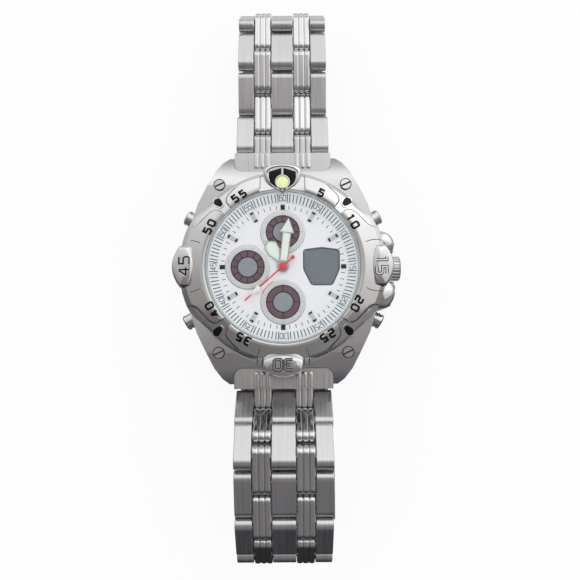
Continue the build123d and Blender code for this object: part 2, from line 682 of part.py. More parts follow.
def case_back():
    """Screw-in case back with spanner notches."""
    with BuildPart() as back:
        disc(head_plane(0), BACK_RADIUS, BACK_THICKNESS)
        ring(head_plane(BACK_THICKNESS), BACK_RADIUS - BACK_RIM_WIDTH, BACK_RADIUS, BACK_RIM_HEIGHT)
        with BuildSketch(head_plane(0)):
            with PolarLocations(BACK_NOTCH_RADIUS, BACK_NOTCH_COUNT):
                Rectangle(BACK_NOTCH_WIDTH, BACK_NOTCH_WIDTH)
        extrude(amount=BACK_NOTCH_DEPTH, mode=Mode.SUBTRACT)
    keep("case_back", back)


def minute_wheel_place():
    """Give the axis of the minute wheel beside the centre."""
    distance = CANNON_PINION_RADIUS + MINUTE_WHEEL_RADIUS + 2 * TOOTH_DEPTH + GEAR_GAP
    return distance * cos(radians(MINUTE_WHEEL_ANGLE)), distance * sin(radians(MINUTE_WHEEL_ANGLE))


def gear(place, height, radius, teeth, bore, thickness):
    """Add a spur gear: a disc with straight teeth round it and a bore."""
    with BuildSketch(head_plane(height)) as profile:
        with Locations(place):
            Circle(radius)
            tooth = TOOTH_WIDTH_SHARE * 2 * radius * sin(radians(180 / teeth))
            with PolarLocations(radius, teeth):
                Rectangle(2 * TOOTH_DEPTH, tooth)
            Circle(bore, mode=Mode.SUBTRACT)
    extrude(profile.sketch, amount=thickness)


def hands():
    """Hour, minute and second hands with their wheels, and the minute wheel between them."""
    hour_wheel_radius = minute_wheel_reach() - MINUTE_PINION_RADIUS - 2 * TOOTH_DEPTH - GEAR_GAP
    upper_level = GEAR_LEVEL + GEAR_THICKNESS + 2 * RUNNING_GAP
    with BuildPart() as hour:
        bore = CANNON_RADIUS + RUNNING_GAP
        gear((0, 0), upper_level, hour_wheel_radius, HOUR_WHEEL_TEETH, bore, GEAR_THICKNESS)
        ring(
            head_plane(upper_level), CANNON_RADIUS + RUNNING_GAP, HOUR_TUBE_RADIUS,
            HOUR_HAND_HEIGHT + HAND_THICKNESS - upper_level,
        )
        with BuildSketch(head_plane(HOUR_HAND_HEIGHT)) as blade:
            with BuildLine():
                half = HOUR_HAND_WIDTH / 2
                Polyline(*[(x * half, y * HOUR_HAND_LENGTH) for x, y in HOUR_HAND_SHARES], close=True)
            make_face()
            Circle(HOUR_HUB_RADIUS)
            Circle(CANNON_RADIUS + RUNNING_GAP, mode=Mode.SUBTRACT)
        extrude(amount=HAND_THICKNESS)
    hour.part = hour.part.rotate(Axis.Z, -HOUR_ANGLE)
    keep("hour_hand", hour)
    with BuildPart() as minute:
        bore = ARBOR_RADIUS + RUNNING_GAP
        gear((0, 0), GEAR_LEVEL, CANNON_PINION_RADIUS, PINION_TEETH, bore, GEAR_THICKNESS)
        ring(
            head_plane(GEAR_LEVEL), ARBOR_RADIUS + RUNNING_GAP, CANNON_RADIUS,
            MINUTE_HAND_HEIGHT + HAND_THICKNESS - GEAR_LEVEL,
        )
        with BuildSketch(head_plane(MINUTE_HAND_HEIGHT)):
            neck = MINUTE_HAND_LENGTH - MINUTE_ARROW_LENGTH
            with BuildLine():
                half = MINUTE_HAND_WIDTH / 2
                arrow = MINUTE_ARROW_WIDTH / 2
                Polyline(
                    (-half, 0), (-half, neck), (-arrow, neck), (0, MINUTE_HAND_LENGTH),
                    (arrow, neck), (half, neck), (half, 0), close=True,
                )
            make_face()
            Circle(MINUTE_HUB_RADIUS)
            Circle(ARBOR_RADIUS + RUNNING_GAP, mode=Mode.SUBTRACT)
        extrude(amount=HAND_THICKNESS)
    minute.part = minute.part.rotate(Axis.Z, -MINUTE_ANGLE)
    keep("minute_hand", minute)
    with BuildPart() as second:
        disc(
            head_plane(MAIN_PLATE_BOTTOM + RUNNING_GAP), ARBOR_RADIUS,
            SECOND_HAND_HEIGHT + HAND_THICKNESS - MAIN_PLATE_BOTTOM - RUNNING_GAP,
        )
        with BuildSketch(head_plane(SECOND_HAND_HEIGHT)):
            with Locations((0, (SECOND_HAND_LENGTH - SECOND_HAND_TAIL) / 2)):
                Rectangle(SECOND_HAND_WIDTH, SECOND_HAND_LENGTH + SECOND_HAND_TAIL)
            Circle(SECOND_HUB_RADIUS)
            with Locations((0, -SECOND_HAND_TAIL)):
                Circle(SECOND_DOT_RADIUS)
        extrude(amount=HAND_THICKNESS)
    second.part = second.part.rotate(Axis.Z, -SECOND_ANGLE)
    keep("second_hand", second)
    with BuildPart() as wheel:
        place = minute_wheel_place()
        bore = MINUTE_POST_RADIUS + RUNNING_GAP
        pinion_thickness = 2 * GEAR_THICKNESS + 2 * RUNNING_GAP
        gear(place, GEAR_LEVEL, MINUTE_WHEEL_RADIUS, WHEEL_TEETH, bore, GEAR_THICKNESS)
        gear(place, GEAR_LEVEL, MINUTE_PINION_RADIUS, PINION_TEETH, bore, pinion_thickness)
    keep("minute_wheel", wheel)


def minute_wheel_reach():
    """Give the distance between the centre and the minute wheel's axis."""
    return hypot(*minute_wheel_place())


def crown_and_lever():
    """Fluted crown on its stem, and the lever that follows the stem's groove."""
    control = CASE_LIFT + CONTROL_HEIGHT
    with BuildPart() as crown:
        cross_bar(0, control, CROWN_START, CROWN_START + CROWN_LENGTH, CROWN_RADIUS)
        chamfer(crown.edges().filter_by(GeomType.CIRCLE), length=CROWN_EDGE)
        with BuildSketch(Plane(origin=(CROWN_START, 0, control), x_dir=(0, 1, 0), z_dir=(1, 0, 0))):
            with PolarLocations(CROWN_RADIUS, CROWN_FLUTES):
                Circle(CROWN_FLUTE_RADIUS)
        extrude(amount=CROWN_LENGTH - CROWN_EDGE, mode=Mode.SUBTRACT)
        cross_bar(0, control, STEM_START, CROWN_START, STEM_RADIUS)
        groove_start = LEVER_X - LEVER_THICKNESS
        with BuildSketch(Plane(origin=(groove_start, 0, control), x_dir=(0, 1, 0), z_dir=(1, 0, 0))):
            Circle(STEM_RADIUS)
            Circle(STEM_RADIUS - STEM_GROOVE, mode=Mode.SUBTRACT)
        extrude(amount=2 * LEVER_THICKNESS, mode=Mode.SUBTRACT)
    keep("crown", crown)
    with BuildPart() as lever:
        lever_origin = (LEVER_X - LEVER_THICKNESS / 2, 0, control)
        lever_plane = Plane(origin=lever_origin, x_dir=(0, 1, 0), z_dir=(1, 0, 0))
        slot = STEM_RADIUS - STEM_GROOVE + RUNNING_GAP
        with BuildSketch(lever_plane):
            with Locations((0, LEVER_RISE / 2)):
                Rectangle(LEVER_WIDTH, LEVER_RISE + 2 * STEM_RADIUS)
            Circle(slot, mode=Mode.SUBTRACT)
            with Locations((0, -LEVER_RISE)):
                Rectangle(2 * slot, 2 * LEVER_RISE, mode=Mode.SUBTRACT)
        extrude(amount=LEVER_THICKNESS)
    keep("setting_lever", lever)


def pushers():
    """Four pushers with their sleeves, and the crown's tube."""
    names = ("pusher_2", "pusher_4", "pusher_8", "pusher_10")
    cap_start = PUSHER_OUTER_END - PUSHER_CAP_LENGTH
    for name, cap_plane, stem_plane in zip(names, pusher_planes(cap_start), pusher_planes(PUSHER_INNER_END)):
        with BuildPart() as pusher:
            disc(cap_plane, PUSHER_RADIUS, PUSHER_CAP_LENGTH)
            chamfer(pusher.edges().filter_by(GeomType.CIRCLE), length=PUSHER_EDGE)
            disc(stem_plane, PUSHER_STEM_RADIUS, cap_start - PUSHER_INNER_END)
        keep(name, pusher)
    with BuildPart() as tubes:
        for plane in pusher_planes(SLEEVE_START):
            bore = PUSHER_RADIUS + RUNNING_GAP
            floor = cap_start - PUSHER_TRAVEL - RUNNING_GAP - SLEEVE_START
            disc(plane, bore + SLEEVE_WALL, SLEEVE_OUTER_END - SLEEVE_START)
            disc(plane.offset(floor), bore, SLEEVE_OUTER_END, Mode.SUBTRACT)
            disc(plane, PUSHER_STEM_RADIUS + RUNNING_GAP, SLEEVE_OUTER_END, Mode.SUBTRACT)
        crown_bore = (CASE_BORE_RADIUS, 0, CASE_LIFT + CONTROL_HEIGHT)
        with BuildSketch(Plane(origin=crown_bore, x_dir=(0, 1, 0), z_dir=(1, 0, 0))):
            Circle(TUBE_RADIUS)
            Circle(STEM_RADIUS + RUNNING_GAP, mode=Mode.SUBTRACT)
        extrude(amount=CROWN_START - RUNNING_GAP - CASE_BORE_RADIUS)
    keep("case_tubes", tubes)


def ridged_rib(plane, length, start, width):
    """Add one rib: rounded ridges side by side, each a rounded bar along the strap."""
    ridge = width / RIDGES_PER_RIB
    for index in range(RIDGES_PER_RIB):
        with BuildPart(mode=Mode.PRIVATE) as bar:
            with BuildSketch(plane.offset(start + index * ridge)):
                SlotOverall(length, LINK_THICKNESS)
            extrude(amount=ridge + (RIDGE_OVERLAP if index < RIDGES_PER_RIB - 1 else 0))
            fillet(bar.faces().filter_by(Axis.X).edges(), radius=RIDGE_ROUND)
        add(bar.part)


def strap_plane(y, z, direction):
    """Give the plane across X whose own x axis runs along the strap."""
    return Plane(origin=(0, y, z), x_dir=(0, *direction), z_dir=(1, 0, 0))


def end_links():
    """Two end links, each with cast ribs and two ribbed tongues."""
    hinge = CASE_LIFT + HINGE_HEIGHT
    with BuildPart() as links:
        for side in (1, -1):
            with BuildSketch(head_plane(END_LINK_BOTTOM)):
                with Locations((0, side * (POCKET_START + END_LINK_GAP + LUG_REACH / 2))):
                    RectangleRounded(LUG_GAP - 2 * END_LINK_GAP, LUG_REACH, POCKET_CORNER)
                with Locations((0, side * (END_LINK_REACH + LUG_REACH / 2))):
                    Rectangle(2 * LUG_GAP, LUG_REACH, mode=Mode.SUBTRACT)
                with Locations((0, side * (END_LINK_REACH + LUG_REACH))):
                    Rectangle(2 * LUG_GAP, LUG_REACH, mode=Mode.SUBTRACT)
            extrude(amount=END_LINK_TOP - END_LINK_BOTTOM)
            tongue_end = FIRST_HINGE_Y + LINK_OVERHANG - LINK_GAP
            tongue_length = tongue_end - BAR_Y
            plane = strap_plane(side * (BAR_Y + tongue_length / 2), hinge, (side, 0))
            for start in (RIB_START, -RIB_END):
                ridged_rib(plane, tongue_length, start, RIB_WIDTH)
            for start in (RIB_START, -RIB_END):
                ridge = RIB_WIDTH / RIDGES_PER_RIB
                for index in range(RIDGES_PER_RIB):
                    with BuildSketch(head_plane(END_LINK_TOP)):
                        middle = start + (2 * index + 1) * ridge / 2
                        with Locations((middle, side * (BAR_Y + END_LINK_REACH) / 2)):
                            Rectangle(ridge - RIDGE_ROUND, END_LINK_REACH - BAR_Y)
                    extrude(amount=CAST_RIB_RISE)
            cross_bar(side * BAR_Y, hinge, -LUG_GAP, LUG_GAP, BAR_RADIUS, Mode.SUBTRACT)
            first_bore = LINK_PIN_RADIUS + PIN_CLEARANCE
            cross_bar(side * FIRST_HINGE_Y, hinge, -LUG_GAP, LUG_GAP, first_bore, Mode.SUBTRACT)
    keep("end_links", links)
    with BuildPart() as bars:
        for side in (1, -1):
            half = LUG_GAP / 2 - 2 * END_LINK_GAP
            cross_bar(side * BAR_Y, hinge, -half, half, BAR_RADIUS)
            tip = LUG_GAP / 2 + BAR_TIP_LENGTH
            cross_bar(side * BAR_Y, hinge, -tip, tip, BAR_TIP_RADIUS)
    keep("spring_bars", bars)


def chain(side, slopes):
    """Give the hinge places and directions of a strap that starts at the end link on one side."""
    y = side * FIRST_HINGE_Y
    z = CASE_LIFT + HINGE_HEIGHT
    places = [(y, z)]
    directions = []
    for slope in slopes:
        direction = (side * cos(radians(slope)), sin(radians(slope)))
        directions.append(direction)
        y += HINGE_STEP * direction[0]
        z += HINGE_STEP * direction[1]
        places.append((y, z))
    return places, directions


def plate_row(name, hinge, direction, flare):
    """Three plates side by side on two cross pins."""
    y = hinge[0] + direction[0] * HINGE_STEP / 2
    z = hinge[1] + direction[1] * HINGE_STEP / 2
    plane = strap_plane(y, z, direction)
    with BuildPart() as row:
        outer = PLATE_WIDTH + flare
        columns = ((-PLATE_START - outer, outer), (-CENTRE_WIDTH / 2, CENTRE_WIDTH), (PLATE_START, outer))
        for start, width in columns:
            with BuildPart(mode=Mode.PRIVATE) as plate:
                with BuildSketch(plane.offset(start)):
                    SlotOverall(LINK_LENGTH, LINK_THICKNESS)
                extrude(amount=width)
                fillet(plate.faces().filter_by(Axis.X).edges(), radius=PLATE_EDGE)
            add(plate.part)
        half = BRACELET_WIDTH / 2 - PIN_INSET
        for reach in (0, HINGE_STEP):
            pin_y = hinge[0] + direction[0] * reach
            pin_z = hinge[1] + direction[1] * reach
            cross_bar(pin_y, pin_z, -half, half, LINK_PIN_RADIUS, Mode.SUBTRACT)
    pins = []
    for reach in (0, HINGE_STEP):
        with BuildPart() as pin:
            pin_y = hinge[0] + direction[0] * reach
            pin_z = hinge[1] + direction[1] * reach
            cross_bar(pin_y, pin_z, -half, half, LINK_PIN_RADIUS)
        pins.append(pin.part)
    row.part = Compound(children=list(row.part.solids()) + [pin.solids()[0] for pin in pins])
    keep(name, row)


def rib_row(name, hinge, direction, is_last):
    """Two ridged ribs between the plates, turning on the plates' pins."""
    tail = LINK_OVERHANG if not is_last else HALF_THICKNESS
    length = LINK_OVERHANG + HINGE_STEP + tail
    middle = length / 2 - LINK_OVERHANG
    plane = strap_plane(hinge[0] + direction[0] * middle, hinge[1] + direction[1] * middle, direction)
    bore = LINK_PIN_RADIUS + PIN_CLEARANCE
    with BuildPart() as row:
        for start in (RIB_START, -RIB_END):
            ridged_rib(plane, length, start, RIB_WIDTH)
        cross_bar(hinge[0], hinge[1], -BRACELET_WIDTH, BRACELET_WIDTH, bore, Mode.SUBTRACT)
        end_y = hinge[0] + direction[0] * HINGE_STEP
        end_z = hinge[1] + direction[1] * HINGE_STEP
        end_bore = BAR_RADIUS if is_last else bore
        cross_bar(end_y, end_z, -BRACELET_WIDTH, BRACELET_WIDTH, end_bore, Mode.SUBTRACT)
        if is_last:
            half = COVER_HALF_WIDTH - COVER_WALL - FLAP_SIDE_GAP
            cross_bar(end_y, end_z, -half, half, BAR_RADIUS)
    keep(name, row)


def strap(side, tag, slopes):
    """Plate rows and rib rows in turn, from the end link outwards."""
    places, directions = chain(side, slopes)
    for index, direction in enumerate(directions):
        if index % 2 == 0:
            flare = FIRST_ROW_FLARE if index == 0 else 0
            plate_row(f"plates_{tag}_{index // 2 + 1}", places[index], direction, flare)
        else:
            rib_row(f"ribs_{tag}_{index // 2 + 1}", places[index], direction, index == len(directions) - 1)
    return places


HINGES_12 = chain(1, SLOPES_12 + (LYING_SLOPE,) * FLAT_PIECES_12)[0]
HINGES_6 = chain(-1, SLOPES_6)[0]
BLADE_JOINT = HINGES_12[-1]
COVER_BAR = HINGES_6[-1]
COVER_BOTTOM = FLAP_THICKNESS + SHEET_GAP
COVER_FLOOR_TOP = COVER_BOTTOM + COVER_FLOOR
HINGE_1 = (BLADE_JOINT[0] - COVER_NEAR_END, COVER_FLOOR_TOP + KNUCKLE_RADIUS / 2 + SHEET_GAP)
MIDDLE_BOTTOM = COVER_FLOOR_TOP + 2 * SHEET_GAP
INNER_BOTTOM = HINGE_1[1] + KNUCKLE_RADIUS + SHEET_GAP
HINGE_2 = (HINGE_1[0] - BLADE_RUN, (MIDDLE_BOTTOM + INNER_BOTTOM + BLADE_THICKNESS) / 2)
COVER_FAR_END = COVER_BAR[0] - COVER_END_PAST_BAR
FLAP_PIVOT = (COVER_FAR_END + FLAP_SETBACK, FLAP_PIVOT_HEIGHT)
KNUCKLE_CLEAR = KNUCKLE_RADIUS + SHEET_GAP


def sheet(y_start, y_end, bottom, thickness, half_width):
    """Add a flat strip between two places along Y."""
    with BuildSketch(Plane.XY.offset(bottom)) as profile:
        with Locations((0, (y_start + y_end) / 2)):
            Rectangle(2 * half_width, abs(y_end - y_start))
    extrude(profile.sketch, amount=thickness)


def clasp_inner_blade():
    """Inner blade: a strip that steps down to the last plates, with a knuckle at each end."""
    half_sheet = BLADE_THICKNESS / 2
    step_start = HINGE_1[0] + KNUCKLE_RADIUS + SHEET_GAP
    step_end = BLADE_JOINT[0] - LINK_OVERHANG
    with BuildPart() as inner:
        with BuildSketch(Plane.YZ):
            with BuildLine():
                Polyline(
                    (HINGE_2[0], INNER_BOTTOM), (step_start, INNER_BOTTOM),
                    (step_end - LINK_GAP, BLADE_JOINT[1] - half_sheet),
                    (BLADE_JOINT[0], BLADE_JOINT[1] - half_sheet),
                    (BLADE_JOINT[0], BLADE_JOINT[1] + half_sheet),
                    (step_end, BLADE_JOINT[1] + half_sheet),
                    (step_start + half_sheet, INNER_BOTTOM + BLADE_THICKNESS),
                    (HINGE_2[0], INNER_BOTTOM + BLADE_THICKNESS), close=True,
                )
            make_face()
        extrude(amount=RIB_END, both=True)
        with BuildSketch(Plane.XY):
            with Locations((0, BLADE_JOINT[0])):
                Rectangle(2 * PLATE_START - 2 * RIB_WIDTH, 2 * (LINK_OVERHANG + LINK_GAP))
        extrude(amount=2 * INNER_BOTTOM, mode=Mode.SUBTRACT)
        for start in (RIB_START, -RIB_END):
            cross_bar(*BLADE_JOINT, start, start + RIB_WIDTH, HALF_THICKNESS - SHEET_GAP)
        cross_bar(*HINGE_2, -BLADE_HALF_WIDTH / 2, BLADE_HALF_WIDTH / 2, KNUCKLE_RADIUS)
        for start in (BLADE_HALF_WIDTH / 2, -RIB_END):
            cross_bar(*HINGE_2, start, start + RIB_END - BLADE_HALF_WIDTH / 2, KNUCKLE_CLEAR, Mode.SUBTRACT)
        cross_bar(*HINGE_2, -RIB_END, RIB_END, CLASP_PIN_RADIUS + PIN_CLEARANCE, Mode.SUBTRACT)
        cross_bar(*BLADE_JOINT, -RIB_END, RIB_END, LINK_PIN_RADIUS + PIN_CLEARANCE, Mode.SUBTRACT)
    keep("inner_blade", inner)


def clasp_middle_blade():
    """Middle blade: outer knuckles and its pin at one hinge, a centre knuckle at the other."""
    third = BLADE_HALF_WIDTH / 2
    outer_start = third + SHEET_GAP
    outer_width = BLADE_HALF_WIDTH - outer_start
    with BuildPart() as middle:
        sheet(HINGE_2[0], HINGE_1[0], MIDDLE_BOTTOM, BLADE_THICKNESS, BLADE_HALF_WIDTH)
        for start in (outer_start, -outer_start - outer_width):
            cross_bar(*HINGE_2, start, start + outer_width, KNUCKLE_RADIUS)
            cross_bar(*HINGE_1, start, start + outer_width, KNUCKLE_CLEAR, Mode.SUBTRACT)
        cross_bar(*HINGE_1, -third, third, KNUCKLE_RADIUS)
        cross_bar(*HINGE_2, -outer_start, outer_start, KNUCKLE_CLEAR, Mode.SUBTRACT)
        pin_bore = CLASP_PIN_RADIUS + PIN_CLEARANCE
        cross_bar(*HINGE_1, -BLADE_HALF_WIDTH, BLADE_HALF_WIDTH, pin_bore, Mode.SUBTRACT)
        cross_bar(*HINGE_2, -BLADE_HALF_WIDTH, BLADE_HALF_WIDTH, CLASP_PIN_RADIUS)
    keep("middle_blade", middle)


def clasp_cover():
    """Clasp cover: a channel with adjusting holes, outer knuckles and the pin of its hinge."""
    third = BLADE_HALF_WIDTH / 2
    outer_start = third + SHEET_GAP
    inside = COVER_HALF_WIDTH - COVER_WALL
    with BuildPart() as cover:
        near = HINGE_1[0] + KNUCKLE_RADIUS
        sheet(COVER_FAR_END, near, COVER_BOTTOM, COVER_HEIGHT, COVER_HALF_WIDTH)
        ends = cover.edges().filter_by(Axis.X).group_by(Axis.Z)[0]
        fillet(ends.group_by(Axis.Y)[0], radius=COVER_END_ROUND)
        fillet(cover.edges().filter_by(Axis.Y).group_by(Axis.Z)[0], radius=COVER_EDGE)
        with BuildSketch(Plane.XY.offset(COVER_FLOOR_TOP)):
            with Locations((0, (COVER_FAR_END + near) / 2)):
                Rectangle(2 * inside, abs(near - COVER_FAR_END) + 2 * CUT_OVERRUN)
        extrude(amount=COVER_HEIGHT, mode=Mode.SUBTRACT)
        with BuildSketch(Plane.XY):
            with Locations((0, COVER_FAR_END)):
                Rectangle(2 * inside, 2 * COVER_FLOOR_SETBACK)
        extrude(amount=COVER_HEIGHT, mode=Mode.SUBTRACT)
        for start, width in ((outer_start, inside - outer_start), (-inside, inside - outer_start)):
            cross_bar(*HINGE_1, start, start + width, KNUCKLE_RADIUS)
        cross_bar(*HINGE_1, -outer_start, outer_start, KNUCKLE_CLEAR, Mode.SUBTRACT)
        cross_bar(*HINGE_1, -inside, inside, CLASP_PIN_RADIUS)
        for index in range(ADJUST_HOLES):
            hole_y = COVER_BAR[0] + (index + 1) * ADJUST_HOLE_STEP
            cross_bar(hole_y, COVER_BAR[1], -LUG_GAP, LUG_GAP, ADJUST_HOLE_RADIUS, Mode.SUBTRACT)
        cross_bar(*COVER_BAR, -LUG_GAP, LUG_GAP, ADJUST_HOLE_RADIUS, Mode.SUBTRACT)
        cross_bar(*FLAP_PIVOT, -LUG_GAP, LUG_GAP, CLASP_PIN_RADIUS + PIN_CLEARANCE, Mode.SUBTRACT)
    keep("clasp_cover", cover)


def clasp_safety_flap():
    """Safety flap: a folded strip under the cover that turns on two short pins, with a lip for a fingernail."""
    inside = COVER_HALF_WIDTH + FLAP_SIDE_GAP
    outside = inside + FLAP_THICKNESS
    start = COVER_FAR_END
    with BuildPart() as flap:
        sheet(start, start + FLAP_LENGTH, 0, FLAP_EAR_HEIGHT, outside)
        fillet(flap.edges().filter_by(Axis.Z), radius=FLAP_THICKNESS)
        fillet(flap.edges().group_by(Axis.Z)[0], radius=FLAP_EDGE)
        with BuildSketch(Plane.XY.offset(FLAP_THICKNESS)):
            with Locations((0, start + FLAP_LENGTH / 2)):
                Rectangle(2 * inside, FLAP_LENGTH + 2 * CUT_OVERRUN)
        extrude(amount=FLAP_EAR_HEIGHT, mode=Mode.SUBTRACT)
        for side in (1, -1):
            inner_end = side * (COVER_HALF_WIDTH - COVER_WALL)
            outer_end = side * outside
            cross_bar(*FLAP_PIVOT, min(inner_end, outer_end), max(inner_end, outer_end), CLASP_PIN_RADIUS)
        with BuildSketch(Plane.XY.offset(FLAP_EAR_HEIGHT - FLAP_LIP_HEIGHT)):
            with Locations((outside, start + FLAP_LENGTH - FLAP_THICKNESS - FLAP_LIP_LENGTH / 2)):
                RectangleRounded(2 * FLAP_LIP, FLAP_LIP_LENGTH, FLAP_LIP / 2)
        extrude(amount=FLAP_LIP_HEIGHT)
    keep("safety_flap", flap)


def export_centred():
    """Move the whole watch so that its box stands centred on the origin, and write each piece."""
    boxes = [piece.bounding_box() for piece in PARTS.values()]
    middle_x = (min(box.min.X for box in boxes) + max(box.max.X for box in boxes)) / 2
    middle_y = (min(box.min.Y for box in boxes) + max(box.max.Y for box in boxes)) / 2
    lowest = min(box.min.Z for box in boxes)
    for name, piece in PARTS.items():
        moved = piece.moved(Location((-middle_x, -middle_y, -lowest)))
        moved.label = name
        export_step(moved, f"parts/{name}.step")
    return middle_x, middle_y, lowest


case_middle()
bezel()
case_screws()
crystal_and_gaskets()
flange_ring()
dial()
dial_appliques()
lcd_panel()
movement()
case_back()
hands()
crown_and_lever()
pushers()
end_links()
strap(1, "12", SLOPES_12 + (LYING_SLOPE,) * FLAT_PIECES_12)
strap(-1, "6", SLOPES_6)
clasp_inner_blade()
clasp_middle_blade()
clasp_cover()
clasp_safety_flap()
CENTRE = export_centred()
print("case lift", CASE_LIFT, "centre", CENTRE)
print("blade joint", BLADE_JOINT, "cover bar", COVER_BAR, "hinges", HINGE_1, HINGE_2, "flap", FLAP_PIVOT)
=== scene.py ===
"""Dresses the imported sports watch: finishes for its solids, and the worked surfaces of its head and dial.

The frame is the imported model's: +X to 3 o'clock, +Y to 12 o'clock, +Z out of the dial, in metres.
Sizes in the classes are millimetres. On the head, heights start at the outside of the case back.
"""

import json
import logging
import math
from dataclasses import dataclass, field
from enum import Enum
from typing import Callable, Optional, Sequence

import bmesh
import bpy
import numpy as np
from mathutils import Matrix, Vector

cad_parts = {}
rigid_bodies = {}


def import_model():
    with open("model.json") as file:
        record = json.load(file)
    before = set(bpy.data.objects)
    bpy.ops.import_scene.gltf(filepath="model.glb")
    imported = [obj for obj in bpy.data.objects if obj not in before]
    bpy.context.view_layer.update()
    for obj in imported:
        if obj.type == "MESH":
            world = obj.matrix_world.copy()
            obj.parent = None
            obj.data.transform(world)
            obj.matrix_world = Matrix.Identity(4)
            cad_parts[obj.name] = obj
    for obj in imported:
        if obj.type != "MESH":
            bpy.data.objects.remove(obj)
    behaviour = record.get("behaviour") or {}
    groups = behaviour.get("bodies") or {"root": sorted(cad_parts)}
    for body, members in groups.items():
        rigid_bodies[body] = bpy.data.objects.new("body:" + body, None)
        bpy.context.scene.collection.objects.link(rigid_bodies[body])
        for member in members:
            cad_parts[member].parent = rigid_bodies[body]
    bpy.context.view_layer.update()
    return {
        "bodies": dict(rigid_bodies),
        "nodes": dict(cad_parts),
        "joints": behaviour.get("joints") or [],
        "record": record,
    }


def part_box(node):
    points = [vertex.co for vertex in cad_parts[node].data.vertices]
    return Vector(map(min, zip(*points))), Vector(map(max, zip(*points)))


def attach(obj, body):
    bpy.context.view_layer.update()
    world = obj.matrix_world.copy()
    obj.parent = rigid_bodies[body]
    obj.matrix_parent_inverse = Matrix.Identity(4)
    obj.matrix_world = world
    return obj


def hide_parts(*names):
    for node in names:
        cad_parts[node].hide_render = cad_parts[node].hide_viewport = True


LOG = logging.getLogger("watch")
MM = 0.001
FULL_TURN = 2.0 * math.pi
# Most of a noise's values lie between these two.
NOISE_DARK = 0.3
NOISE_LIGHT = 0.7
# Points nearer than the first of these merge, and edges shorter than the second go, in metres.
MERGE = 1e-7
SLIVER = 1e-8
# A mitre's cosine counts as at least this, so that the tip of a sharp corner stays short.
LEAST_MITRE = 0.4
# The curve of one corner takes at most this share of a side.
MOST_OF_SIDE = 0.45

Height = Callable[[np.ndarray, np.ndarray], np.ndarray]
Colour = tuple[float, float, float]
Pair = tuple[float, float]
Pairs = tuple[Pair, ...]
Form = tuple[np.ndarray, np.ndarray]
Tree = bpy.types.NodeTree
Socket = bpy.types.NodeSocket


class Grain(Enum):
    """How the marks of a tool run over a finish, as the stretch of the pattern along x, y and z."""

    ALONG_STRAP = (2600.0, 55.0, 55.0)
    ACROSS_STRAP = (70.0, 1900.0, 1900.0)
    EVEN = (900.0, 900.0, 900.0)
    POLISHED = (160.0, 160.0, 160.0)
    HANDLED = (120.0, 120.0, 120.0)
    PAINTED = (700.0, 700.0, 700.0)
    PEEL = (3000.0, 3000.0, 3000.0)
    DUST = (500.0, 500.0, 500.0)


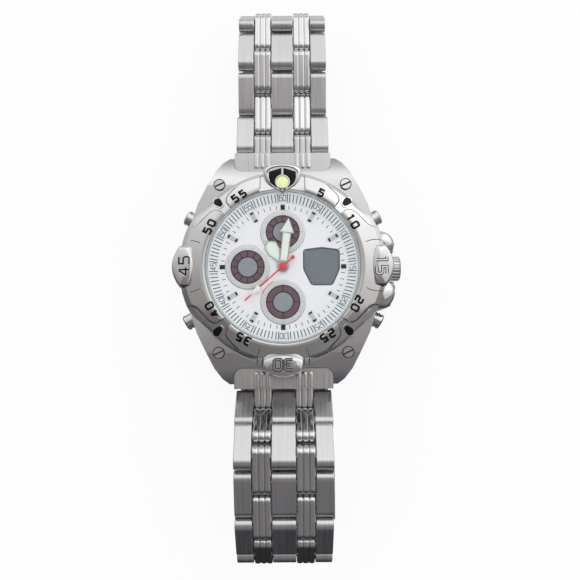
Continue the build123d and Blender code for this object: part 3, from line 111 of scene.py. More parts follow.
@dataclass(frozen=True)
class Finish:
    """A base for every finish: it makes one node material with a pattern on object coordinates."""

    name: str
    colour: Colour
    roughness: float

    def start(self) -> tuple[bpy.types.Material, Tree, bpy.types.Node]:
        """Make the material.

        Returns:
            The material, its node tree and its Principled shader.
        """
        material = bpy.data.materials.new(self.name)
        material.use_nodes = True
        tree = material.node_tree
        shader = tree.nodes["Principled BSDF"]
        shader.inputs["Base Color"].default_value = (*self.colour, 1.0)
        shader.inputs["Roughness"].default_value = self.roughness
        return material, tree, shader

    @staticmethod
    def pattern(tree: Tree, grain: Grain, detail: float) -> bpy.types.Node:
        """Add a noise on object coordinates.

        Args:
            tree: Node tree to add to.
            grain: How the noise is stretched.
            detail: Octaves of the noise.

        Returns:
            The texture node.
        """
        place = tree.nodes.new("ShaderNodeTexCoord")
        mapping = tree.nodes.new("ShaderNodeMapping")
        mapping.inputs["Scale"].default_value = grain.value
        tree.links.new(place.outputs["Object"], mapping.inputs["Vector"])
        node = tree.nodes.new("ShaderNodeTexNoise")
        node.inputs["Detail"].default_value = detail
        node.inputs["Scale"].default_value = 1.0
        tree.links.new(mapping.outputs["Vector"], node.inputs["Vector"])
        return node

    @staticmethod
    def spread(tree: Tree, source: Socket, low: float, high: float) -> Socket:
        """Map a pattern from the middle of its range to a range of values.

        Args:
            tree: Node tree to add to.
            source: Pattern's value.
            low: Value where the pattern is dark.
            high: Value where the pattern is light.

        Returns:
            The mapped value's socket.
        """
        node = tree.nodes.new("ShaderNodeMapRange")
        node.inputs["From Min"].default_value = NOISE_DARK
        node.inputs["From Max"].default_value = NOISE_LIGHT
        node.inputs["To Min"].default_value = low
        node.inputs["To Max"].default_value = high
        tree.links.new(source, node.inputs["Value"])
        return node.outputs["Result"]

    def tint(self, tree: Tree, shader: bpy.types.Node, source: Socket, contrast: float) -> None:
        """Let a pattern drive the colour, from the base colour made darker to the same made lighter.

        Args:
            tree: Node tree to add to.
            shader: Shader that takes the colour.
            source: Pattern's value.
            contrast: Share of the colour that is taken away or added.
        """
        node = tree.nodes.new("ShaderNodeMix")
        node.data_type = "RGBA"
        dark = tuple(c * (1.0 - contrast) for c in self.colour)
        light = tuple(min(1.0, c * (1.0 + contrast)) for c in self.colour)
        node.inputs["A"].default_value = (*dark, 1.0)
        node.inputs["B"].default_value = (*light, 1.0)
        tree.links.new(self.spread(tree, source, 0.0, 1.0), node.inputs["Factor"])
        tree.links.new(node.outputs["Result"], shader.inputs["Base Color"])

    def gloss(self, tree: Tree, shader: bpy.types.Node, source: Socket, low: float, high: float) -> None:
        """Let a pattern drive the roughness, between two shares of the finish's own.

        Args:
            tree: Node tree to add to.
            shader: Shader that takes the roughness.
            source: Pattern's value.
            low: Share where the pattern is dark.
            high: Share where the pattern is light.
        """
        rough = self.spread(tree, source, self.roughness * low, min(1.0, self.roughness * high))
        tree.links.new(rough, shader.inputs["Roughness"])

    @staticmethod
    def relief(tree: Tree, shader: bpy.types.Node, source: Socket, depth: float) -> None:
        """Raise the surface by a pattern.

        Args:
            tree: Node tree to add to.
            shader: Shader that takes the normal.
            source: Pattern's value.
            depth: Height of the pattern in millimetres.
        """
        node = tree.nodes.new("ShaderNodeBump")
        node.inputs["Distance"].default_value = depth * MM
        node.inputs["Strength"].default_value = 1.0
        tree.links.new(source, node.inputs["Height"])
        tree.links.new(node.outputs["Normal"], shader.inputs["Normal"])

    def build(self) -> bpy.types.Material:
        """Make the material: every kind of finish has its own way."""
        raise NotImplementedError(self.name)


@dataclass(frozen=True)
class Steel(Finish):
    """Steel with the grain of its brushing or polish, and faint handling marks."""

    grain: Grain
    depth: float
    contrast: float
    handling: float = 0.35
    gloss_shares: Pair = (0.75, 1.25)

    def build(self) -> bpy.types.Material:
        """Make the steel: grain in colour, roughness and relief, and cloudy wear at a larger scale.

        The pattern of colour and roughness is handling * cloud + (1 - handling) * grain.

        Returns:
            The material.
        """
        material, tree, shader = self.start()
        shader.inputs["Metallic"].default_value = 1.0
        grain = self.pattern(tree, self.grain, 4.0)
        cloud = self.pattern(tree, Grain.HANDLED, 5.0)
        scaled = tree.nodes.new("ShaderNodeMath")
        scaled.operation = "MULTIPLY"
        scaled.inputs[1].default_value = 1.0 - self.handling
        tree.links.new(grain.outputs["Fac"], scaled.inputs[0])
        both = tree.nodes.new("ShaderNodeMath")
        both.operation = "MULTIPLY_ADD"
        both.inputs[1].default_value = self.handling
        tree.links.new(cloud.outputs["Fac"], both.inputs[0])
        tree.links.new(scaled.outputs["Value"], both.inputs[2])
        self.tint(tree, shader, both.outputs["Value"], self.contrast)
        self.gloss(tree, shader, both.outputs["Value"], *self.gloss_shares)
        self.relief(tree, shader, grain.outputs["Fac"], self.depth)
        return material


@dataclass(frozen=True)
class Snailed(Finish):
    """Metal or lacquer with fine turned rings round a centre on the dial."""

    centre: Pair
    metallic: float
    contrast: float
    pitch: float = 0.16
    wobble: float = 0.6
    depth: float = 0.003

    def build(self) -> bpy.types.Material:
        """Make the rings: a wave of the distance from the centre, over the base colour.

        Returns:
            The material.
        """
        material, tree, shader = self.start()
        shader.inputs["Metallic"].default_value = self.metallic
        place = tree.nodes.new("ShaderNodeTexCoord")
        mapping = tree.nodes.new("ShaderNodeMapping")
        mapping.inputs["Location"].default_value = (-self.centre[0], -self.centre[1], 0.0)
        tree.links.new(place.outputs["Object"], mapping.inputs["Vector"])
        wave = tree.nodes.new("ShaderNodeTexWave")
        wave.wave_type = "RINGS"
        wave.rings_direction = "Z"
        wave.inputs["Scale"].default_value = 1.0 / (self.pitch * MM * math.pi)
        wave.inputs["Distortion"].default_value = self.wobble
        wave.inputs["Detail"].default_value = 1.0
        tree.links.new(mapping.outputs["Vector"], wave.inputs["Vector"])
        self.tint(tree, shader, wave.outputs["Fac"], self.contrast)
        self.relief(tree, shader, wave.outputs["Fac"], self.depth)
        return material


@dataclass(frozen=True)
class Lacquer(Finish):
    """Paint, ink, lume or enamel: a mottled colour with a slight orange peel."""

    mottle: float
    coat: float = 0.0
    metallic: float = 0.0
    peel: float = 0.001
    shine: float = 0.5
    coat_roughness: float = 0.08
    gloss_shares: Pair = (0.85, 1.15)

    def build(self) -> bpy.types.Material:
        """Make the paint.

        Returns:
            The material.
        """
        material, tree, shader = self.start()
        shader.inputs["Metallic"].default_value = self.metallic
        shader.inputs["Coat Weight"].default_value = self.coat
        shader.inputs["Coat Roughness"].default_value = self.coat_roughness
        shader.inputs["Specular IOR Level"].default_value = self.shine
        noise = self.pattern(tree, Grain.PAINTED, 4.0)
        self.tint(tree, shader, noise.outputs["Fac"], self.mottle)
        self.gloss(tree, shader, noise.outputs["Fac"], *self.gloss_shares)
        fine = self.pattern(tree, Grain.PEEL, 2.0)
        self.relief(tree, shader, fine.outputs["Fac"], self.peel)
        return material


@dataclass(frozen=True)
class Clear(Finish):
    """Mineral glass: nearly clear, with a faint tint and a trace of dust in its gloss."""

    alpha: float
    refraction: float = 1.5
    gloss_shares: Pair = (0.6, 1.6)

    def build(self) -> bpy.types.Material:
        """Make the glass.

        Returns:
            The material.
        """
        material, tree, shader = self.start()
        shader.inputs["Alpha"].default_value = self.alpha
        shader.inputs["IOR"].default_value = self.refraction
        dust = self.pattern(tree, Grain.DUST, 4.0)
        self.gloss(tree, shader, dust.outputs["Fac"], *self.gloss_shares)
        return material


def grid_faces(rows: int, columns: int, wrap_rows: bool, wrap_columns: bool) -> np.ndarray:
    """Number the quads of a grid whose points are stored row by row.

    Args:
        rows: Points along the first parameter.
        columns: Points along the second parameter.
        wrap_rows: Whether the last row joins the first.
        wrap_columns: Whether the last column joins the first.

    Returns:
        One line of four point numbers for each quad.
    """
    row = np.arange(rows if wrap_rows else rows - 1)[:, None]
    column = np.arange(columns if wrap_columns else columns - 1)[None, :]
    next_row = (row + 1) % rows
    next_column = (column + 1) % columns
    corners = [row * columns + column, next_row * columns + column,
               next_row * columns + next_column, row * columns + next_column]
    return np.stack([np.broadcast_to(c, (row.size, column.size)) for c in corners], axis=-1).reshape(-1, 4)


def join_parts(parts: Sequence[Form]) -> Form:
    """Put several meshes of points and quads into one.

    Args:
        parts: Points and quads of each mesh.

    Returns:
        The points and quads of all of them.
    """
    counts = np.cumsum([0] + [len(points) for points, _ in parts[:-1]])
    points = np.concatenate([p for p, _ in parts])
    faces = np.concatenate([f + start for (_, f), start in zip(parts, counts)])
    return points, faces


def solid(name: str, parts: Sequence[Form], finish: bpy.types.Material, body: str,
          crease: float) -> bpy.types.Object:
    """Turn grids of points in millimetres into one piece that rides on a body.

    Poles are closed by merging points that coincide, and faces are turned outwards.

    Args:
        name: Piece's name.
        parts: Points and quads of its forms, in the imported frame.
        finish: Material.
        body: Body that it rides on.
        crease: Angle in degrees past which an edge is sharp.

    Returns:
        The piece.
    """
    points, faces = join_parts(parts)
    mesh = bpy.data.meshes.new(name)
    mesh.from_pydata((points * MM).tolist(), [], faces.tolist())
    work = bmesh.new()
    work.from_mesh(mesh)
    bmesh.ops.remove_doubles(work, verts=work.verts, dist=MERGE)
    bmesh.ops.dissolve_degenerate(work, edges=work.edges, dist=SLIVER)
    bmesh.ops.recalc_face_normals(work, faces=work.faces)
    work.to_mesh(mesh)
    work.free()
    mesh.shade_smooth()
    mesh.set_sharp_from_angle(angle=math.radians(crease))
    mesh.materials.append(finish)
    piece = bpy.data.objects.new(name, mesh)
    bpy.context.scene.collection.objects.link(piece)
    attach(piece, body)
    LOG.info("%s: %d faces on %s", name, len(mesh.polygons), body)
    return piece


def plate(outline: np.ndarray, centre: Sequence[float], foot: float, section: Sequence[Pair],
          height: Optional[Height] = None) -> Form:
    """Make a closed plate over an outline that a centre point sees whole.

    A point is centre + s * (outline - centre), for each share s, at its height; the underside is flat.

    Args:
        outline: Outline's points, one line of x and y each, in order round it.
        centre: Point that s shrinks to.
        foot: Height of the underside over the carrying surface.
        section: Shares s from the outline to the centre, each with its height.
        height: Surface that carries the plate, or None for a level one at 0.

    Returns:
        Points and quads.
    """
    middle = np.asarray(centre, float)
    shares, levels = np.array([(0.0, foot), (1.0, foot), *section]).T
    flat = middle + shares[:, None, None] * (outline - middle)[None]
    rise = np.broadcast_to(levels[:, None], flat.shape[:2])
    if height is not None:
        rise = rise + height(flat[..., 0], flat[..., 1])
    points = np.concatenate([flat, rise[..., None]], axis=-1).reshape(-1, 3)
    return points, grid_faces(len(shares), len(outline), False, True)


def resampled(path: np.ndarray, closed: bool, spacing: float = 0.3, clear: float = 0.08) -> np.ndarray:
    """Add points between a path's corners, so that a stroke follows a curved surface.

    Places are lengths along the path: every corner, and even steps that are clear of the corners.

    Args:
        path: Path's corners, one line of x and y each.
        closed: Whether the path is a loop.
        spacing: Length of a step.
        clear: Least distance of a step from a corner.

    Returns:
        One line of x and y for each point.
    """
    ring = np.vstack([path, path[:1]]) if closed else path
    corners = np.concatenate([[0.0], np.cumsum(np.linalg.norm(np.diff(ring, axis=0), axis=1))])
    steps = np.arange(spacing, corners[-1], spacing)
    steps = steps[np.abs(steps[:, None] - corners[None]).min(axis=1) > clear]
    places = np.sort(np.concatenate([corners[:-1] if closed else corners, steps]))
    return np.column_stack([np.interp(places, corners, ring[:, 0]), np.interp(places, corners, ring[:, 1])])


def stroke(path: np.ndarray, half: float, closed: bool, low: float, high: float, height: Height) -> Form:
    """Carry a rectangle along a path on a surface, with mitred corners.

    Args:
        path: Path's points, one line of x and y each.
        half: Half of the stroke's width.
        closed: Whether the path is a loop.
        low: Depth of its underside from the surface.
        high: Height of its top over the surface.
        height: Surface that carries it.

    Returns:
        Points and quads.
    """
    path = resampled(path, closed)
    if closed:
        before = path - np.roll(path, 1, axis=0)
        after = np.roll(path, -1, axis=0) - path
    else:
        steps = np.diff(path, axis=0)
        before = np.vstack([steps[:1], steps])
        after = np.vstack([steps, steps[-1:]])
    before = before / np.linalg.norm(before, axis=1, keepdims=True)
    after = after / np.linalg.norm(after, axis=1, keepdims=True)
    normals = np.stack([before, after])[..., ::-1] * np.array([-1.0, 1.0])
    mitre = normals.sum(axis=0)
    mitre = mitre / np.maximum((mitre * normals[0]).sum(axis=1, keepdims=True), LEAST_MITRE)
    left = path + mitre * half
    right = path - mitre * half
    rings = [np.column_stack([side, height(side[:, 0], side[:, 1]) + rise])
             for side, rise in ((left, low), (left, high), (right, high), (right, low))]
    points = np.stack(rings, axis=1)
    faces = grid_faces(len(path), 4, closed, True)
    if not closed:
        last = 4 * (len(path) - 1)
        faces = np.vstack([faces, [[0, 1, 2, 3], [last + 3, last + 2, last + 1, last]]])
    return points.reshape(-1, 3), faces


def turned(profile: Sequence[Pair], centre: Sequence[float], steps: int, closed: bool = True) -> Form:
    """Turn a profile round a vertical axis.

    Args:
        profile: Profile's points, each a distance from the axis and a height.
        centre: Axis, as x and y.
        steps: Points round the axis.
        closed: Whether the profile is a loop.

    Returns:
        Points and quads.
    """
    angle = np.linspace(0.0, FULL_TURN, steps, endpoint=False)[:, None]
    radius, height = np.asarray(profile, float).T[:, None]
    level = np.broadcast_to(height, (steps, radius.shape[1]))
    x = centre[0] + radius * np.sin(angle)
    y = centre[1] + radius * np.cos(angle)
    return np.stack([x, y, level], axis=-1).reshape(-1, 3), grid_faces(steps, radius.shape[1], True, closed)


def circle(centre: Sequence[float], radius: float, steps: int) -> np.ndarray:
    """Give the points of a circle.

    Args:
        centre: Centre, as x and y.
        radius: Radius.
        steps: Number of points.

    Returns:
        One line of x and y for each point.
    """
    angle = np.linspace(0.0, FULL_TURN, steps, endpoint=False)
    return np.column_stack([centre[0] + radius * np.sin(angle), centre[1] + radius * np.cos(angle)])


def rounded(corners: Sequence[Sequence[float]], radius: float, steps: int = 6) -> np.ndarray:
    """Round the corners of a polygon with short curves.

    Each corner becomes a parabola from a point before it to a point after it, a radius away.

    Args:
        corners: Polygon's corners in order.
        radius: Distance of the curve's ends from the corner.
        steps: Points on each curve.

    Returns:
        One line of x and y for each point.
    """
    points = np.asarray(corners, float)
    before = np.roll(points, 1, axis=0) - points
    after = np.roll(points, -1, axis=0) - points
    reach_before = np.minimum(radius / np.linalg.norm(before, axis=1), MOST_OF_SIDE)[:, None]
    reach_after = np.minimum(radius / np.linalg.norm(after, axis=1), MOST_OF_SIDE)[:, None]
    start = (points + before * reach_before)[:, None]
    end = (points + after * reach_after)[:, None]
    t = np.linspace(0.0, 1.0, steps)[None, :, None]
    return ((1 - t) ** 2 * start + 2 * t * (1 - t) * points[:, None] + t ** 2 * end).reshape(-1, 2)


def placed(points: np.ndarray, angle: float, radius: float) -> np.ndarray:
    """Turn points clockwise from 12 o'clock, after moving them outwards.

    Args:
        points: One line of x and y each, with y outwards.
        angle: Clockwise angle in degrees.
        radius: Distance outwards.

    Returns:
        The points round the dial's axis.
    """
    turn = math.radians(angle)
    across = np.array([math.cos(turn), -math.sin(turn)])
    outward = np.array([math.sin(turn), math.cos(turn)])
    return points[:, :1] * across + (points[:, 1:2] + radius) * outward


def spot(angle: float, radius: float) -> np.ndarray:
    """Give the point at a clockwise angle and a distance from the dial's axis."""
    return placed(np.zeros((1, 2)), angle, radius)[0]


def level(height: float) -> Height:
    """Give a level surface at a height."""
    return lambda x, y: np.full_like(x, height)


def step(edge: float, width: float, value: np.ndarray) -> np.ndarray:
    """Rise smoothly from 0 to 1 across an edge.

    Args:
        edge: Middle of the rise.
        width: Width of the rise.
        value: Values to map.

    Returns:
        The mapped values.
    """
    t = np.clip((value - edge) / width + 0.5, 0.0, 1.0)
    return t * t * (3.0 - 2.0 * t)


GLYPHS: dict[str, tuple[tuple[bool, Pairs], ...]] = {
    "0": ((True, ((-.5, .36), (-.32, .5), (.32, .5), (.5, .36), (.5, -.36), (.32, -.5), (-.32, -.5),
                  (-.5, -.36))),),
    "1": ((False, ((-.34, .5), (.08, .5), (.08, -.5))),),
    "2": ((False, ((-.5, .5), (.32, .5), (.5, .37), (.5, .12), (.34, .0), (-.34, .0), (-.5, -.13), (-.5, -.5),
                   (.5, -.5))),),
    "3": ((False, ((-.5, .5), (.32, .5), (.5, .37), (.5, .13), (.36, .0), (-.2, .0))),
          (False, ((.3, .0), (.5, -.13), (.5, -.37), (.32, -.5), (-.5, -.5)))),
    "4": ((False, ((.22, -.5), (.22, .5))), (False, ((.52, -.18), (-.5, -.18), (.1, .5)))),
    "5": ((False, ((.48, .5), (-.44, .5), (-.44, .07), (.32, .07), (.5, -.07), (.5, -.37), (.32, -.5),
                   (-.5, -.5))),),
    "6": ((True, ((-.5, -.36), (-.5, .07), (.32, .07), (.5, -.07), (.5, -.37), (.32, -.5), (-.32, -.5))),
          (False, ((-.5, .0), (-.5, .36), (-.32, .5), (.45, .5)))),
}


@dataclass(frozen=True)
class Lettering:
    """Size of a number: its digits are strokes in a box, side by side."""

    width: float
    height: float
    gap: float
    half_stroke: float

    def strokes(self, text: str) -> list[tuple[bool, np.ndarray]]:
        """Lay the digits out round the middle of the text.

        Args:
            text: Digits.

        Returns:
            For each stroke, whether it is a loop, and its points.
        """
        pitch = self.width + self.gap
        start = -pitch * (len(text) - 1) / 2.0
        found = []
        for index, sign in enumerate(text):
            for closed, points in GLYPHS[sign]:
                local = np.array(points) * [self.width, self.height] + [start + pitch * index, 0.0]
                found.append((closed, local))
        return found


@dataclass
class Head:
    """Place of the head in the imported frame, and the finishes that its pieces share."""

    origin: np.ndarray
    finishes: dict[str, bpy.types.Material]

    def piece(self, name: str, parts: Sequence[Form], finish: str, slot: str, body: str = "root",
              crease: float = 35.0) -> bpy.types.Object:
        """Make a piece from forms in the head's own millimetres.

        Args:
            name: Piece's name.
            parts: Points and quads.
            finish: Name of its finish.
            slot: Material slot of the record; not used.
            body: Body that it rides on.
            crease: Angle in degrees past which an edge is sharp.

        Returns:
            The piece.
        """
        moved = [(points + self.origin, faces) for points, faces in parts]
        return solid(name, moved, self.finishes[finish], body, crease)


@dataclass(frozen=True)
class Raised:
    """A raised form drawn at 12 o'clock: outline, radius of its corners, middle, foot and section.

    The section is shares of the outline's distance from the middle, each with its height.
    """

    outline: Pairs
    corner: float
    middle: Pair
    foot: float
    section: Pairs

    def drawn(self, angle: float, radius: float = 0.0) -> np.ndarray:
        """Give the outline with its corners rounded, moved outwards and turned.

        Args:
            angle: Clockwise angle in degrees.
            radius: Distance outwards.

        Returns:
            One line of x and y for each point.
        """
        outline = rounded(self.outline, self.corner) if self.corner else np.array(self.outline)
        return placed(outline, angle, radius)

    def form(self, angle: float, radius: float = 0.0, height: Optional[Height] = None) -> Form:
        """Make the form.

        Args:
            angle: Clockwise angle in degrees.
            radius: Distance outwards.
            height: Surface that carries it, or None for a level one at 0.

        Returns:
            Points and quads.
        """
        centre = placed(np.array([self.middle]), angle, radius)[0]
        return plate(self.drawn(angle, radius), centre, self.foot, self.section, height)


@dataclass
class Bezel:
    """Bezel ring with a raised petal at each quarter, its numbers, dark lines of painted shade in its
    grooves, and small dark shields.

    A chamfer is its run and its drop. Levels are the depth of an underside and the height of a top over the
    surface that carries them. A petal's outer limit is a radius for each angle from the petal's middle,
    and where the limit comes within petal_rim of the edge, the petal runs over it. The petal's foot is how
    far past the lip it has its full height, and the share that is left at the inner edge. The fade beside
    the shield is the place of its middle and its width.
    """

    inner: float = 16.78
    lip: float = 17.25
    middle: float = 20.5
    outer: float = 21.4
    outer_inset: float = 0.2
    lobe: float = 1.45
    lobe_degrees: Pair = (57.0, 122.0)
    lobe_fade: float = 18.0
    bottom: float = 7.02
    top: float = 11.2
    lip_drop: float = 0.05
    middle_height: float = 10.05
    rim_height: float = 9.25
    inner_chamfer: Pair = (0.15, 0.22)
    outer_chamfer: Pair = (0.15, 0.3)
    undercut: float = 0.1
    top_rows: int = 30
    step_degrees: float = 0.5
    petal_rise: float = 0.5
    petal_fade: float = 0.35
    petal_rim: float = 0.75
    petal_foot: Pair = (0.6, 0.25)
    petal_degrees: tuple[float, ...] = (21.5, 22.2, 23.8, 26.5, 31.0, 36.5, 39.5, 41.2, 41.6, 42.2)
    petal_radii: tuple[float, ...] = (24.0, 22.3, 21.3, 20.6, 20.15, 19.8, 19.35, 18.6, 17.6, 15.0)
    shield_reach: float = 4.9
    shield_fade: Pair = (4.5, 4.9)
    # The grooves are flat dark strokes of painted shade where the groove's shade falls.
    groove_half: float = 0.075
    groove_levels: Pair = (-0.2, 0.02)
    groove_offset: float = 0.12
    groove_rim: float = 0.7
    numeral_radius: float = 17.98
    numeral_turn: float = -2.0
    numeral_rim: float = 0.13
    numeral_rim_levels: Pair = (-0.1, 0.08)
    numeral_levels: Pair = (-0.08, 0.13)
    lettering: Lettering = Lettering(1.12, 1.58, 0.83, 0.225)
    numerals: dict[int, str] = field(default_factory=lambda: {
        30: "5", 60: "10", 120: "20", 150: "25", 210: "35", 240: "40", 300: "50", 330: "55"})
    corner_radius: float = 20.0
    corner_degrees: tuple[int, ...] = (45, 135, 225, 315)
    corner_shield: Raised = Raised(
        ((-0.5, -1.35), (0.5, -1.35), (0.95, -0.2), (1.0, 0.75), (0.0, 1.4), (-1.0, 0.75), (-0.95, -0.2)),
        0.3, (0.0, 0.0), -0.25, ((1.0, 0.05), (0.93, 0.08), (0.5, 0.08), (0.0, 0.08)))
    corner_frame_half: float = 0.13
    corner_frame_levels: Pair = (-0.25, 0.16)

    def edge(self, angle: np.ndarray) -> np.ndarray:
        """Give the outer radius: round, with a broad lobe at each side of the cartouches.

        Args:
            angle: Clockwise angles in degrees, from -180 to 180.

        Returns:
            Radii.
        """
        side = np.abs(angle)
        start, end = self.lobe_degrees
        lobe = step(start, self.lobe_fade, side) * (1.0 - step(end, self.lobe_fade, side))
        return self.outer - self.outer_inset + self.lobe * lobe

    def surface(self, x: np.ndarray, y: np.ndarray) -> np.ndarray:
        """Give the top's height: a sloping ring, raised inside the four petals round 12, 3, 6 and 9 o'clock.

        A petal reaches out to a limit that depends on the angle from its own middle, and it fades beside
        the shield at 12 o'clock.

        Args:
            x: Places across.
            y: Places along.

        Returns:
            Heights.
        """
        radius = np.hypot(x, y)
        angle = np.degrees(np.arctan2(x, y))
        rim = self.edge(angle)
        share = (radius - self.lip) / (rim - self.lip)
        turn = (self.middle - self.lip) / (self.outer - self.lip)
        levels = [self.top, self.top - self.lip_drop, self.middle_height, self.rim_height]
        slope = np.interp(share, [-0.1, 0.0, turn, 1.0], levels)
        off = np.abs((angle + 45.0) % 90.0 - 45.0)
        limit = np.interp(off, self.petal_degrees, self.petal_radii)
        limit = np.where(limit > rim - self.petal_rim, self.outer + 2.0 * self.lobe, limit)
        petal = 1.0 - step(0.0, self.petal_fade, radius - limit)
        across = np.abs(radius * np.sin(np.radians(angle)))
        beside_shield = (across < self.shield_reach) & (np.cos(np.radians(angle)) > 0.0)
        petal = np.where(beside_shield, petal * step(*self.shield_fade, across), petal)
        run, foot = self.petal_foot
        return slope + self.petal_rise * petal * np.interp(radius, [self.inner, self.lip + run], [foot, 1.0])

    def grooves(self) -> list[Form]:
        """Lay a dark line of painted shade in the groove along both ends of every petal.

        Returns:
            Points and quads of each line.
        """
        radii = np.array(self.petal_radii[1:-1]) + self.groove_offset
        forms = []
        for place in (0, 90, 180, 270):
            for side in (1.0, -1.0):
                angle = np.radians(place + side * np.array(self.petal_degrees[1:-1]))
                turn = np.degrees(np.arctan2(np.sin(angle), np.cos(angle)))
                keep = radii < self.edge(turn) - self.groove_rim
                path = np.column_stack([radii * np.sin(angle), radii * np.cos(angle)])[keep]
                forms.append(stroke(path, self.groove_half, False, *self.groove_levels, self.surface))
        return forms

    def ring(self) -> Form:
        """Make the ring: a closed section round the axis, whose top follows the surface.

        Returns:
            Points and quads.
        """
        inner_run, inner_drop = self.inner_chamfer
        outer_run, outer_drop = self.outer_chamfer
        drop = np.concatenate([[inner_drop, 0.0], np.zeros(self.top_rows), [outer_drop]])
        degrees = np.arange(-180.0, 180.0, self.step_degrees)[:, None]
        angle = np.radians(degrees)
        outer = self.edge(degrees)
        run = self.lip + np.linspace(0.0, 1.0, self.top_rows)[None] * (outer - outer_run - self.lip)
        start = np.broadcast_to([self.inner, self.inner + inner_run], (len(angle), 2))
        top = np.concatenate([start, run, outer], axis=1)
        x = top * np.sin(angle)
        y = top * np.cos(angle)
        upper = np.stack([x, y, self.surface(x, y) - drop], axis=-1)
        lower_radius = np.concatenate([outer - self.undercut, np.full_like(outer, self.inner)], axis=1)
        lower_height = np.full((len(angle), 2), self.bottom)
        lower = np.stack([lower_radius * np.sin(angle), lower_radius * np.cos(angle), lower_height], axis=-1)
        points = np.concatenate([upper, lower], axis=1)
        return points.reshape(-1, 3), grid_faces(len(angle), points.shape[1], True, True)

    def numeral_strokes(self, rim: float, low: float, high: float) -> list[Form]:
        """Lay every number on the surface, with its top outwards.

        Args:
            rim: Width that is added round the strokes.
            low: Depth of the underside.
            high: Height of the top.

        Returns:
            Points and quads of each stroke.
        """
        half = self.lettering.half_stroke + rim
        forms = []
        for place, text in self.numerals.items():
            for closed, path in self.lettering.strokes(text):
                round_path = placed(path, place + self.numeral_turn, self.numeral_radius)
                forms.append(stroke(round_path, half, closed, low, high, self.surface))
        return forms

    def build(self, head: Head) -> None:
        """Make the bezel's pieces and put them in place of its solid.

        Args:
            head: Head that carries it.
        """
        ring = head.piece("bezel_ring", [self.ring()], "satin", "polished", crease=30.0)
        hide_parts("bezel")
        cartouches = Cartouches(self)
        # Dark strokes of painted shade in the grooves at the petals' ends and beside the cartouches.
        head.piece("bezel_groove_shade", self.grooves() + cartouches.grooves(), "groove", "black_plastic")
        rims = self.numeral_strokes(self.numeral_rim, *self.numeral_rim_levels)
        head.piece("numeral_rims", rims, "chrome", "polished")
        numerals = self.numeral_strokes(0.0, *self.numeral_levels)
        head.piece("numerals", numerals, "black_enamel", "black_plastic")
        cartouches.build(head)
        Shield().build(head)
        inlays = [self.corner_shield.form(a, self.corner_radius, self.surface) for a in self.corner_degrees]
        frames = [stroke(self.corner_shield.drawn(a, self.corner_radius), self.corner_frame_half, True,
                         *self.corner_frame_levels, self.surface) for a in self.corner_degrees]
        head.piece("corner_inlays", inlays, "black_enamel", "black_plastic")
        head.piece("corner_frames", frames, "chrome", "polished")


